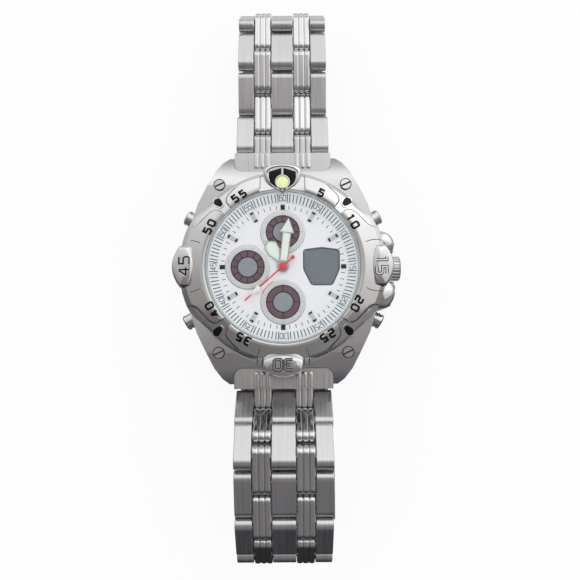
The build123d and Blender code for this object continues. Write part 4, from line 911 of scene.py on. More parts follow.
@dataclass
class Cartouches:
    """Barrel-shaped bosses at 3, 6 and 9 o'clock, each on a six-sided step that points at the dial.

    Each of a boss's long sides is its middle and its bow: middle + bow * share squared, for a share of its
    half width. A groove is an arc of radius groove_bow round groove_centre, cut off at its limit, and its
    shade is painted as a dark line.
    """

    bezel: Bezel
    numbers: dict[int, str] = field(default_factory=lambda: {90: "15", 180: "30", 270: "45"})
    # The number at this angle is painted dark all through, as painted shade, in place of polished strokes.
    painted_shade_number: int = 270
    collar: Raised = Raised(
        ((0.0, 17.25), (2.6, 18.3), (4.7, 19.9), (4.75, 22.0), (3.4, 23.3), (-3.4, 23.3), (-4.75, 22.0),
         (-4.7, 19.9), (-2.6, 18.3)),
        0.45, (0.0, 21.0), 7.45,
        ((1.0, 9.9), (0.97, 10.45), (0.9, 10.85), (0.8, 10.95), (0.4, 10.97), (0.0, 10.97)))
    boss_half: float = 4.55
    boss_outer: Pair = (24.15, -1.75)
    boss_inner: Pair = (19.25, 1.05)
    boss_steps: int = 24
    boss_middle: float = 21.7
    boss_foot: float = 7.5
    boss_section: Pairs = ((1.0, 9.6), (0.985, 10.4), (0.94, 10.95), (0.87, 11.2), (0.8, 11.28), (0.4, 11.28),
                           (0.0, 11.28))
    number_height: float = 11.28
    number_radius: float = 21.35
    number_thinner: float = -0.02
    # Width of the dark outline of painted shade round a number's polished strokes.
    shade_outline: float = 0.16
    number_levels: Pair = (-0.05, 0.13)
    # Depth and height of the strokes of painted shade.
    shade_levels: Pair = (-0.05, 0.05)
    lettering: Lettering = Lettering(1.6, 2.2, 0.74, 0.18)
    groove_bow: float = 5.65
    groove_centre: float = 20.6
    groove_degrees: Pair = (62.0, 100.0)
    groove_steps: int = 8
    groove_limits: dict[int, float] = field(default_factory=lambda: {90: 22.55, 180: 22.55, 270: 21.1})

    def boss(self, angle: int) -> Form:
        """Make a boss: its two long sides are parabolas, and its edge is domed.

        Args:
            angle: Clockwise angle in degrees.

        Returns:
            Points and quads.
        """
        across = np.linspace(-1.0, 1.0, self.boss_steps)
        sides = []
        for share, (middle, bow) in ((across, self.boss_outer), (across[::-1], self.boss_inner)):
            sides.append(np.column_stack([self.boss_half * share, middle + bow * share ** 2]))
        outline = placed(np.vstack(sides), angle, 0.0)
        return plate(outline, spot(angle, self.boss_middle), self.boss_foot, self.boss_section)

    def number(self, angle: int, rim: float, low: float, high: float) -> list[Form]:
        """Lay a cartouche's number on its top.

        Args:
            angle: Clockwise angle in degrees.
            rim: Width that is added round the strokes.
            low: Depth of the underside.
            high: Height of the top.

        Returns:
            Points and quads of each stroke.
        """
        half = self.lettering.half_stroke + rim
        surface = level(self.number_height)
        return [stroke(placed(path, angle, self.number_radius), half, closed, low, high, surface)
                for closed, path in self.lettering.strokes(self.numbers[angle])]

    def grooves(self) -> list[Form]:
        """Lay a dark bow of painted shade in the groove on the bezel at both sides of every cartouche.

        Returns:
            Points and quads of each line.
        """
        turn = np.radians(np.linspace(*self.groove_degrees, self.groove_steps))
        forms = []
        for angle, limit in self.groove_limits.items():
            for side in (1.0, -1.0):
                x = side * self.groove_bow * np.sin(turn)
                y = self.groove_centre - self.groove_bow * np.cos(turn)
                path = np.column_stack([x, y])[np.hypot(x, y) < limit]
                forms.append(stroke(placed(path, angle, 0.0), self.bezel.groove_half, False,
                                    *self.bezel.groove_levels, self.bezel.surface))
        return forms

    def build(self, head: Head) -> None:
        """Make the steps, the bosses and their numbers: polished strokes with a dark outline of painted
        shade, but at 9 o'clock the number is painted dark all through, as painted shade.

        Args:
            head: Head that carries them.
        """
        head.piece("cartouche_collars", [self.collar.form(a) for a in self.numbers], "satin", "polished")
        head.piece("cartouche_bosses", [self.boss(a) for a in self.numbers], "chrome", "polished")
        dark = []
        bright = []
        for angle in self.numbers:
            if angle == self.painted_shade_number:
                dark += self.number(angle, self.number_thinner, *self.shade_levels)
            else:
                dark += self.number(angle, self.shade_outline, *self.shade_levels)
                bright += self.number(angle, self.number_thinner, *self.number_levels)
        # Dark strokes of painted shade: outlines round the polished numbers, and the whole number at 9
        # o'clock.
        head.piece("cartouche_number_shade", dark, "black_enamel", "black_plastic")
        head.piece("cartouche_numbers", bright, "chrome", "polished")


@dataclass
class Shield:
    """The 12 o'clock shield: a domed rim, a dark inlay in two halves, a bright spine and a pale pip.

    Its sections are shares of the outline with their heights, but for the cup and the pip, which are turned:
    theirs are radii with heights.
    """

    outline: Pairs = ((0.0, 15.75), (1.5, 16.55), (2.95, 17.7), (3.85, 19.0), (4.25, 20.4), (4.15, 21.3),
                      (3.2, 22.1), (1.6, 22.55), (0.0, 22.7), (-1.6, 22.55), (-3.2, 22.1), (-4.15, 21.3),
                      (-4.25, 20.4), (-3.85, 19.0), (-2.95, 17.7), (-1.5, 16.55))
    corner: float = 0.5
    rim_middle: Pair = (0.0, 19.2)
    rim_foot: float = 10.35
    rim_section: Pairs = ((1.0, 10.7), (0.985, 11.0), (0.94, 11.25), (0.88, 11.38), (0.82, 11.38),
                          (0.78, 11.05), (0.4, 11.0), (0.0, 11.0))
    foot_scale: float = 0.93
    foot_shift: Pair = (0.0, 1.55)
    foot_middle: Pair = (0.0, 19.4)
    foot_bottom: float = 7.45
    foot_section: Pairs = ((1.0, 10.3), (0.98, 10.4), (0.0, 10.4))
    floor: float = 11.0
    half_outline: Pairs = ((0.22, 16.2), (0.75, 16.4), (1.75, 17.2), (2.6, 18.3), (3.0, 19.5), (2.95, 20.75),
                           (0.22, 21.6))
    half_middle: Pair = (1.2, 19.0)
    half_foot: float = -0.05
    half_section: Pairs = ((1.0, 0.1), (0.94, 0.14), (0.5, 0.14), (0.0, 0.14))
    spine: Pairs = ((0.0, 16.1), (0.0, 21.6))
    spine_half: float = 0.2
    spine_levels: Pair = (-0.05, 0.24)
    pip_centre: Pair = (0.0, 18.4)
    cup_section: Pairs = ((1.62, 10.95), (1.62, 11.3), (1.45, 11.36), (1.35, 11.3), (1.35, 10.95))
    pip_section: Pairs = ((0.0, 11.0), (1.34, 11.0), (1.34, 11.22), (1.1, 11.34), (0.7, 11.42), (0.0, 11.45))
    pip_steps: int = 48

    def build(self, head: Head) -> None:
        """Make the shield's pieces.

        Args:
            head: Head that carries them.
        """
        outline = rounded(self.outline, self.corner)
        body = plate(outline, self.rim_middle, self.rim_foot, self.rim_section)
        smaller = outline * self.foot_scale + self.foot_shift
        foot = plate(smaller, self.foot_middle, self.foot_bottom, self.foot_section)
        head.piece("shield_rim", [body, foot], "chrome", "polished")
        surface = level(self.floor)
        halves = []
        for side in (1.0, -1.0):
            mirror = np.array([side, 1.0])
            halves.append(plate(self.half_outline * mirror, self.half_middle * mirror, self.half_foot,
                                self.half_section, surface))
        head.piece("shield_inlay", halves, "black_enamel", "black_plastic")
        spine = stroke(np.array(self.spine), self.spine_half, False, *self.spine_levels, surface)
        head.piece("shield_spine", [spine], "chrome", "polished")
        cup = turned(self.cup_section, self.pip_centre, self.pip_steps)
        head.piece("pip_cup", [cup], "chrome", "polished")
        pip = turned(self.pip_section, self.pip_centre, self.pip_steps, False)
        head.piece("pip", [pip], "pip", "hand_lume")


@dataclass
class Dial:
    """What shows on the dial plate and the flange: printing, hour marks, small dials and display.

    A run is how far a line's two ends are from the dial's axis, or from the small dial's centre. The small
    dials' rings are profiles of radius and height over the dial's top.
    """

    top: float = 8.8
    flange_inner: float = 14.1
    flange_outer: float = 16.25
    flange_low: float = 8.92
    flange_high: float = 10.2
    tick_half: float = 0.1
    tick_degrees: tuple[int, ...] = (6, 9, 12, 15, 18, 21, 24)
    tick_run: Pair = (14.35, 16.0)
    tick_run_beside: Pair = (14.3, 16.05)
    tick_beside: float = 3.9
    number_radius: float = 15.2
    number_top: float = 0.025
    print_depth: float = -0.02
    print_top: float = 0.02
    track_run: Pair = (12.85, 13.65)
    track_half: float = 0.07
    square_run: Pair = (12.75, 13.85)
    square_half: float = 0.46
    square_top: float = 0.14
    baton_run: Pair = (12.02, 13.45)
    baton_ends: Pairs = ((11.6, 12.02), (13.45, 13.87))
    baton_half: float = 0.4
    baton_top: float = 0.26
    lettering: Lettering = Lettering(0.62, 1.15, 0.2, 0.07)
    small_places: Pairs = ((0.0, 7.75), (-7.75, 0.0), (0.0, -7.75))
    small_spokes: tuple[int, ...] = (12, 12, 4)
    small_mark_shifts: tuple[float, ...] = (0.0, 0.5, 0.0)
    silver: Pairs = ((3.66, -0.02), (3.66, 0.1), (3.8, 0.12), (4.72, 0.05), (4.85, 0.04), (4.85, -0.02))
    silver_rim: Pairs = ((4.85, -0.02), (4.85, 0.1), (4.98, 0.06), (4.98, -0.02))
    band: Pairs = ((2.3, -0.02), (2.3, 0.08), (3.6, 0.08), (3.6, -0.02))
    disc: Pairs = ((0.0, -0.02), (2.16, -0.02), (2.16, 0.03), (2.0, 0.05), (0.0, 0.05))
    ring_steps: int = 96
    circle_steps: int = 72
    spoke_run: Pair = (2.3, 3.6)
    spoke_half: float = 0.09
    circle_radii: Pair = (3.64, 2.24)
    circle_half: float = 0.11
    spoke_levels: Pair = (0.0, 0.14)
    marks: int = 12
    mark_start: float = 3.95
    mark_ends: Pair = (4.25, 4.45)
    mark_half: float = 0.035
    mark_levels: Pair = (0.05, 0.13)
    window: Pair = (8.45, 0.1)
    window_size: Pair = (7.6, 8.0)
    window_shares: Pairs = ((-0.5, 0.44), (0.0, 0.5), (0.5, 0.44), (0.5, -0.08), (0.3, -0.5), (-0.28, -0.5),
                            (-0.5, -0.08))
    window_corner: float = 0.6
    window_frame_half: float = 0.12
    window_frame_levels: Pair = (-0.35, 0.06)
    glass_foot: float = -0.3
    glass_section: Pairs = ((1.0, -0.12), (0.97, -0.12), (0.5, -0.12), (0.0, -0.12))

    def dial_surface(self, x: np.ndarray, y: np.ndarray) -> np.ndarray:
        """Give the level height of the dial's top."""
        return np.full_like(x, self.top)

    def flange_surface(self, x: np.ndarray, y: np.ndarray) -> np.ndarray:
        """Give the height of the flange's cone: it rises evenly with the distance from the axis.

        Args:
            x: Places across.
            y: Places along.

        Returns:
            Heights.
        """
        radius = np.hypot(x, y)
        share = (radius - self.flange_inner) / (self.flange_outer - self.flange_inner)
        return self.flange_low + share * (self.flange_high - self.flange_low)

    def radial(self, angle: float, run: Pair, half: float, surface: Height, high: float) -> Form:
        """Make a radial line.

        Args:
            angle: Clockwise angle in degrees.
            run: Distances of its inner and outer ends.
            half: Half of its width.
            surface: Surface that carries it.
            high: Height of its top.

        Returns:
            Points and quads.
        """
        path = placed(np.array([(0.0, run[0]), (0.0, run[1])]), angle, 0.0)
        return stroke(path, half, False, self.print_depth, high, surface)

    def flange_printing(self, head: Head) -> None:
        """Build the flange's ticks and numbers.

        Args:
            head: Head that carries the dial.
        """
        hours = range(0, 360, 30)
        places = [(hour + angle, self.tick_run) for hour in hours for angle in self.tick_degrees]
        places += [(hour + side, self.tick_run_beside) for hour in hours
                   for side in (-self.tick_beside, self.tick_beside)]
        ticks = [self.radial(angle, run, self.tick_half, self.flange_surface, self.print_top)
                 for angle, run in places]
        head.piece("flange_ticks", ticks, "slate_ink", "black_plastic")
        numbers = []
        for hour in range(1, 13):
            for closed, path in self.lettering.strokes(f"{hour * 5:02d}"):
                round_path = placed(path, hour * 30, self.number_radius)
                numbers.append(stroke(round_path, self.lettering.half_stroke, closed, self.print_depth,
                                      self.number_top, self.flange_surface))
        head.piece("flange_numbers", numbers, "slate_ink", "black_plastic")

    def dial_printing(self, head: Head) -> None:
        """Build the minute track, the square marks at the quarters, and the batons' ends and fillings.

        Args:
            head: Head that carries the dial.
        """
        surface = self.dial_surface
        quarters = (0, 90, 180, 270)
        hours = [angle for angle in range(0, 360, 30) if angle not in quarters]
        minutes = [angle for angle in range(0, 360, 6) if angle % 30]
        track = [self.radial(a, self.track_run, self.track_half, surface, self.print_top) for a in minutes]
        blocks = [self.radial(a, self.square_run, self.square_half, surface, self.square_top)
                  for a in quarters]
        blocks += [self.radial(a, run, self.baton_half, surface, self.baton_top)
                   for a in hours for run in self.baton_ends]
        head.piece("minute_track", track, "ink", "black_plastic")
        head.piece("hour_blocks", blocks, "black_enamel", "black_plastic")
        batons = [self.radial(a, self.baton_run, self.baton_half, surface, self.baton_top) for a in hours]
        head.piece("hour_batons", batons, "baton_lume", "hand_lume")

    def spokes(self, place: Pair, angles: Sequence[float], runs: Sequence[Pair], half: float,
               levels: Pair) -> list[Form]:
        """Lay straight lines outwards from a small dial's centre.

        Args:
            place: Centre of the small dial.
            angles: Clockwise angle of each line in radians.
            runs: Distances of each line's inner and outer ends.
            half: Half of a line's width.
            levels: Depth of the underside and height of the top.

        Returns:
            Points and quads of each line.
        """
        forms = []
        for angle, run in zip(angles, runs):
            out = np.array([math.sin(angle), math.cos(angle)])
            path = np.array([place + run[0] * out, place + run[1] * out])
            forms.append(stroke(path, half, False, *levels, self.dial_surface))
        return forms

    def small_dial(self, head: Head, index: int) -> None:
        """Build a small dial: a turned silver ring, a maroon ring with dark spokes, and a grey disc.

        Args:
            head: Head that carries the dial.
            index: Number of the small dial, from 0.
        """
        place = self.small_places[index]
        number = index + 1
        raised = np.array([0.0, self.top])
        silver = turned(self.silver + raised, place, self.ring_steps)
        ring = head.piece(f"small_ring_{number}", [silver], f"snailed_{number}", "dial_white")
        if number == 1:
            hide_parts("dial_appliques")
        rim = turned(self.silver_rim + raised, place, self.ring_steps)
        head.piece(f"small_rim_{number}", [rim], "chrome", "polished")
        band = turned(self.band + raised, place, self.ring_steps)
        head.piece(f"small_band_{number}", [band], f"maroon_{number}", "maroon")
        count = self.small_spokes[index]
        angles = [FULL_TURN * spoke / count for spoke in range(count)]
        lines = self.spokes(place, angles, [self.spoke_run] * count, self.spoke_half, self.spoke_levels)
        for radius in self.circle_radii:
            path = circle(place, radius, self.circle_steps)
            lines.append(stroke(path, self.circle_half, True, *self.spoke_levels, self.dial_surface))
        head.piece(f"small_spokes_{number}", lines, "ink", "black_plastic")
        shift = self.small_mark_shifts[index]
        angles = [FULL_TURN * (mark + shift) / self.marks for mark in range(self.marks)]
        short, long = self.mark_ends
        runs = [(self.mark_start, short if mark % 3 else long) for mark in range(self.marks)]
        marks = self.spokes(place, angles, runs, self.mark_half, self.mark_levels)
        head.piece(f"small_marks_{number}", marks, "grey_ink", "black_plastic")
        disc = turned(self.disc + raised, place, self.circle_steps, False)
        head.piece(f"small_disc_{number}", [disc], "grey_disc", "display")

    def window_outline(self, grow: float) -> np.ndarray:
        """Give the display's outline: arched at the top and narrower at the bottom.

        Args:
            grow: Width that is added on every side.

        Returns:
            One line of x and y for each point.
        """
        size = np.array(self.window_size) + 2.0 * grow
        return rounded(np.array(self.window) + np.array(self.window_shares) * size, self.window_corner)

    def display(self, head: Head) -> None:
        """Build the display's dark bevelled frame and its grey glass.

        Args:
            head: Head that carries the dial.
        """
        half = self.window_frame_half
        frame = stroke(self.window_outline(half), half, True, *self.window_frame_levels, self.dial_surface)
        head.piece("display_frame", [frame], "slate_ink", "black_plastic")
        outline = self.window_outline(0.0)
        glass = plate(outline, self.window, self.glass_foot, self.glass_section, self.dial_surface)
        head.piece("display_glass", [glass], "display", "display")

    def build(self, head: Head) -> None:
        """Make everything that shows on the dial.

        Args:
            head: Head that carries the dial.
        """
        self.flange_printing(head)
        self.dial_printing(head)
        for index in range(len(self.small_places)):
            self.small_dial(head, index)
        self.display(head)


@dataclass
class Hands:
    """Luminous inlays, hub cap and arrow on the hands."""

    hour_angle: float = -30.0
    minute_angle: float = 7.0
    second_angle: float = 228.0
    hour_lume: Raised = Raised(
        ((-0.3, 1.5), (-0.42, 2.1), (-1.2, 3.75), (-1.2, 5.45), (0.0, 6.3), (1.2, 5.45), (1.2, 3.75),
         (0.42, 2.1), (0.3, 1.5)),
        0.25, (0.0, 4.4), 9.24, ((1.0, 9.3), (0.93, 9.36), (0.5, 9.38), (0.0, 9.38)))
    minute_section: Pairs = ((1.0, 9.7), (0.93, 9.76), (0.5, 9.78), (0.0, 9.78))
    minute_baton: Raised = Raised(
        ((-0.72, 1.3), (-0.72, 7.3), (0.72, 7.3), (0.72, 1.3)), 0.15, (0.0, 4.3), 9.64, minute_section)
    minute_arrow: Raised = Raised(
        ((-1.38, 7.68), (0.0, 10.55), (1.38, 7.68)), 0.2, (0.0, 8.5), 9.64, minute_section)
    arrow_outline: Pairs = ((-0.85, 6.7), (0.0, 9.7), (0.85, 6.7))
    arrow_border: Raised = Raised(
        arrow_outline, 0.0, (0.0, 7.7), 9.84, ((1.0, 10.0), (0.9, 10.06), (0.0, 10.06)))
    arrow_fill: Raised = Raised(
        arrow_outline, 0.0, (0.0, 7.7), 10.04, ((0.68, 10.08), (0.6, 10.11), (0.0, 10.11)))
    cap: Pairs = ((0.0, 9.86), (0.82, 9.86), (0.82, 10.1), (0.7, 10.2), (0.4, 10.26), (0.0, 10.28))
    cap_steps: int = 40

    def build(self, head: Head) -> None:
        """Make the pieces that ride on the hands.

        Args:
            head: Head that carries the hands.
        """
        hour = self.hour_lume.form(self.hour_angle)
        head.piece("hour_lume", [hour], "lume", "hand_lume", "hour_hand")
        minute = [form.form(self.minute_angle) for form in (self.minute_baton, self.minute_arrow)]
        head.piece("minute_lume", minute, "lume", "hand_lume", "minute_hand")
        border = self.arrow_border.form(self.second_angle)
        head.piece("second_arrow", [border], "red", "hand_red", "second_hand")
        fill = self.arrow_fill.form(self.second_angle)
        head.piece("second_arrow_fill", [fill], "lume", "hand_lume", "second_hand")
        cap = turned(self.cap, (0.0, 0.0), self.cap_steps, False)
        head.piece("hand_cap", [cap], "red", "hand_red", "second_hand")


@dataclass
class Controls:
    """Pushers with turned grooves.

    A groove's corners are runs from its start, and the rounding's are runs back from the end, with depths.
    """

    angle: float = 29.0
    height: float = 4.4
    inner_end: float = 16.9
    cap_start: float = 22.1
    outer_end: float = 25.0
    cap_radius: float = 1.7
    stem_radius: float = 0.8
    groove_starts: Pair = (1.0, 1.75)
    groove: Pairs = ((0.0, 0.0), (0.1, 0.14), (0.35, 0.14), (0.45, 0.0))
    rounding: Pairs = ((0.3, 0.0), (0.08, 0.2), (0.0, 0.35))
    steps: int = 48

    def outline(self) -> tuple[np.ndarray, np.ndarray]:
        """Give a pusher's outline: the stem, and a cap with two grooves and a rounded end.

        Returns:
            Distances from the head's axis, and radii.
        """
        points = [(self.inner_end, 0.0), (self.inner_end, self.stem_radius),
                  (self.cap_start, self.stem_radius), (self.cap_start, self.cap_radius)]
        for start in self.groove_starts:
            for run, depth in self.groove:
                points.append((self.cap_start + start + run, self.cap_radius - depth))
        for run, depth in self.rounding:
            points.append((self.outer_end - run, self.cap_radius - depth))
        points.append((self.outer_end, 0.0))
        along, radius = np.array(points).T
        return along, radius

    def build(self, head: Head) -> None:
        """Make each pusher by turning its outline round its axis.

        Args:
            head: Head that carries the pushers.
        """
        along, radius = self.outline()
        up = np.array([0.0, 0.0, 1.0])
        around = np.linspace(0.0, FULL_TURN, self.steps, endpoint=False)[:, None]
        places = ((2, self.angle), (4, -self.angle), (8, 180 + self.angle), (10, 180 - self.angle))
        for number, angle in places:
            turn = math.radians(angle)
            out = np.array([math.cos(turn), math.sin(turn), 0.0])
            side = np.array([-math.sin(turn), math.cos(turn), 0.0])
            axis = along[None, :, None] * out + self.height * up
            ring = (radius * np.cos(around))[..., None] * side + (radius * np.sin(around))[..., None] * up
            form = ((axis + ring).reshape(-1, 3), grid_faces(self.steps, len(along), True, False))
            pusher = head.piece(f"pusher_{number}_turned", [form], "chrome", "polished", f"pusher_{number}")
            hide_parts(f"pusher_{number}")


@dataclass
class Fittings:
    """Polished ribs on the end links, and painted shade in the rims and slots of the case's screws.

    A rib's section is shares of its half width, each with its share of the rise.
    """

    rib_middle: float = 4.6
    rib_pitch: float = 1.3
    rib_half: float = 0.55
    rib_start: float = 22.9
    rib_end: float = 26.55
    rib_corner: float = 0.4
    rib_seat: float = 5.95
    rib_depth: float = 1.0
    rib_rise: float = 0.42
    rib_section: Pairs = ((1.0, 0.0), (0.96, 0.45), (0.82, 0.8), (0.55, 0.97), (0.3, 1.0), (0.02, 1.0))
    screws: Pair = (14.1, 18.7)
    screw_top: float = 8.3
    screw_radius: float = 1.2
    screw_steps: int = 40
    screw_line_half: float = 0.09
    screw_line_levels: Pair = (-0.1, 0.03)
    slot_degrees: float = 25.0
    slot_share: float = 0.85
    slot_half: float = 0.17
    slot_levels: Pair = (-0.1, 0.02)

    def rib(self, x: float, side: float) -> Form:
        """Make a rib: its outline is drawn in towards its middle line as it rises.

        Args:
            x: Place of its middle line across the strap.
            side: 1 for the end link at 12 o'clock, -1 for the one at 6 o'clock.

        Returns:
            Points and quads.
        """
        half = self.rib_half
        start = side * self.rib_start
        end = side * self.rib_end
        corners = [(x - half, start), (x - half, end), (x + half, end), (x + half, start)]
        outline = rounded(corners, self.rib_corner)
        middle = np.array([x, 0.5 * (start + end)])
        reach = np.abs(outline[:, 1] - middle[1]).max()
        rings = [np.column_stack([outline, np.full(len(outline), self.rib_seat - self.rib_depth)])]
        for share, rise in self.rib_section:
            shares = np.array([share, 1.0 - half * (1.0 - share) / reach])
            height = np.full(len(outline), self.rib_seat + self.rib_rise * rise)
            rings.append(np.column_stack([middle + (outline - middle) * shares, height]))
        return np.stack(rings).reshape(-1, 3), grid_faces(len(rings), len(outline), False, True)

    def build(self, head: Head) -> None:
        """Make the ribs, and a dark line of painted shade round each screw's head and along its slot.

        Args:
            head: Head that carries them.
        """
        ribs = []
        lines = []
        surface = level(self.screw_top)
        turn = math.radians(self.slot_degrees)
        reach = self.slot_share * self.screw_radius * np.array([math.cos(turn), math.sin(turn)])
        for side in (1.0, -1.0):
            for place in (-self.rib_middle, self.rib_middle):
                ribs += [self.rib(place + index * self.rib_pitch, side) for index in (-1, 0, 1)]
            for place in (-self.screws[0], self.screws[0]):
                centre = np.array([place, side * self.screws[1]])
                path = circle(centre, self.screw_radius, self.screw_steps)
                lines.append(stroke(path, self.screw_line_half, True, *self.screw_line_levels, surface))
                slot = np.array([centre - reach, centre + reach])
                lines.append(stroke(slot, self.slot_half, False, *self.slot_levels, surface))
        head.piece("end_link_ribs", ribs, "polished_rib", "polished")
        # Dark strokes of painted shade in the gap round each screw's head and in its slot.
        head.piece("screw_shade_lines", lines, "groove", "black_plastic")


@dataclass
class Guards:
    """Polished domes on the crown guards at 3 o'clock.

    A place is x, y, and the dome's half width along x and along y.
    """

    places: tuple[tuple[float, float, float, float], ...] = ((22.3, 5.6, 2.35, 2.35), (21.9, -6.1, 2.75, 3.1))
    seat: float = 7.3
    depth: float = 1.0
    rise: float = 1.5
    lean: float = 0.5
    rows: int = 10
    steps: int = 48

    def build(self, head: Head) -> None:
        """Make the domes: half ellipsoids that lean towards the crown.

        Args:
            head: Head that carries them.
        """
        turn = np.linspace(0.0, 0.5 * math.pi, self.rows)
        section = np.column_stack([np.cos(turn), self.seat + self.rise * np.sin(turn)])
        forms = []
        for x, y, across, along in self.places:
            outline = circle((0.0, 0.0), 1.0, self.steps) * [across, along] + [x, y]
            outline[:, 1] -= self.lean * math.copysign(1.0, y) * (outline[:, 0] - x) / across
            forms.append(plate(outline, (x, y), self.seat - self.depth, section))
        head.piece("guard_domes", forms, "chrome", "polished")


@dataclass
class Solids:
    """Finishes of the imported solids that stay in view."""

    finish_of: dict[str, str] = field(default_factory=lambda: {
        "case_middle": "case", "case_screws": "chrome", "crystal": "crystal", "gaskets": "nylon",
        "flange_ring": "flange", "dial": "dial", "lcd_panel": "display", "movement_holder": "holder",
        "main_plate": "brass", "circuit_board": "board", "battery": "satin", "case_back": "brushed_across",
        "end_links": "brushed", "spring_bars": "chrome", "case_tubes": "chrome", "setting_lever": "satin",
        "crown": "chrome", "hour_hand": "chrome", "minute_hand": "chrome", "second_hand": "red",
        "minute_wheel": "brass", "inner_blade": "polished_rib", "middle_blade": "polished_rib",
        "clasp_cover": "brushed", "safety_flap": "brushed"})

    def build(self, head: Head, nodes: dict[str, bpy.types.Object]) -> None:
        """Put each finish on its solid's material slots.

        Args:
            head: Head whose finishes are shared.
            nodes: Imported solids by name.
        """
        for name, node in nodes.items():
            finish = self.finish_of.get(name)
            if finish is None:
                finish = "polished_rib" if name.startswith("ribs_") else "brushed"
            for place in node.material_slots:
                place.material = head.finishes[finish]
            LOG.info("%s: %s", name, finish)


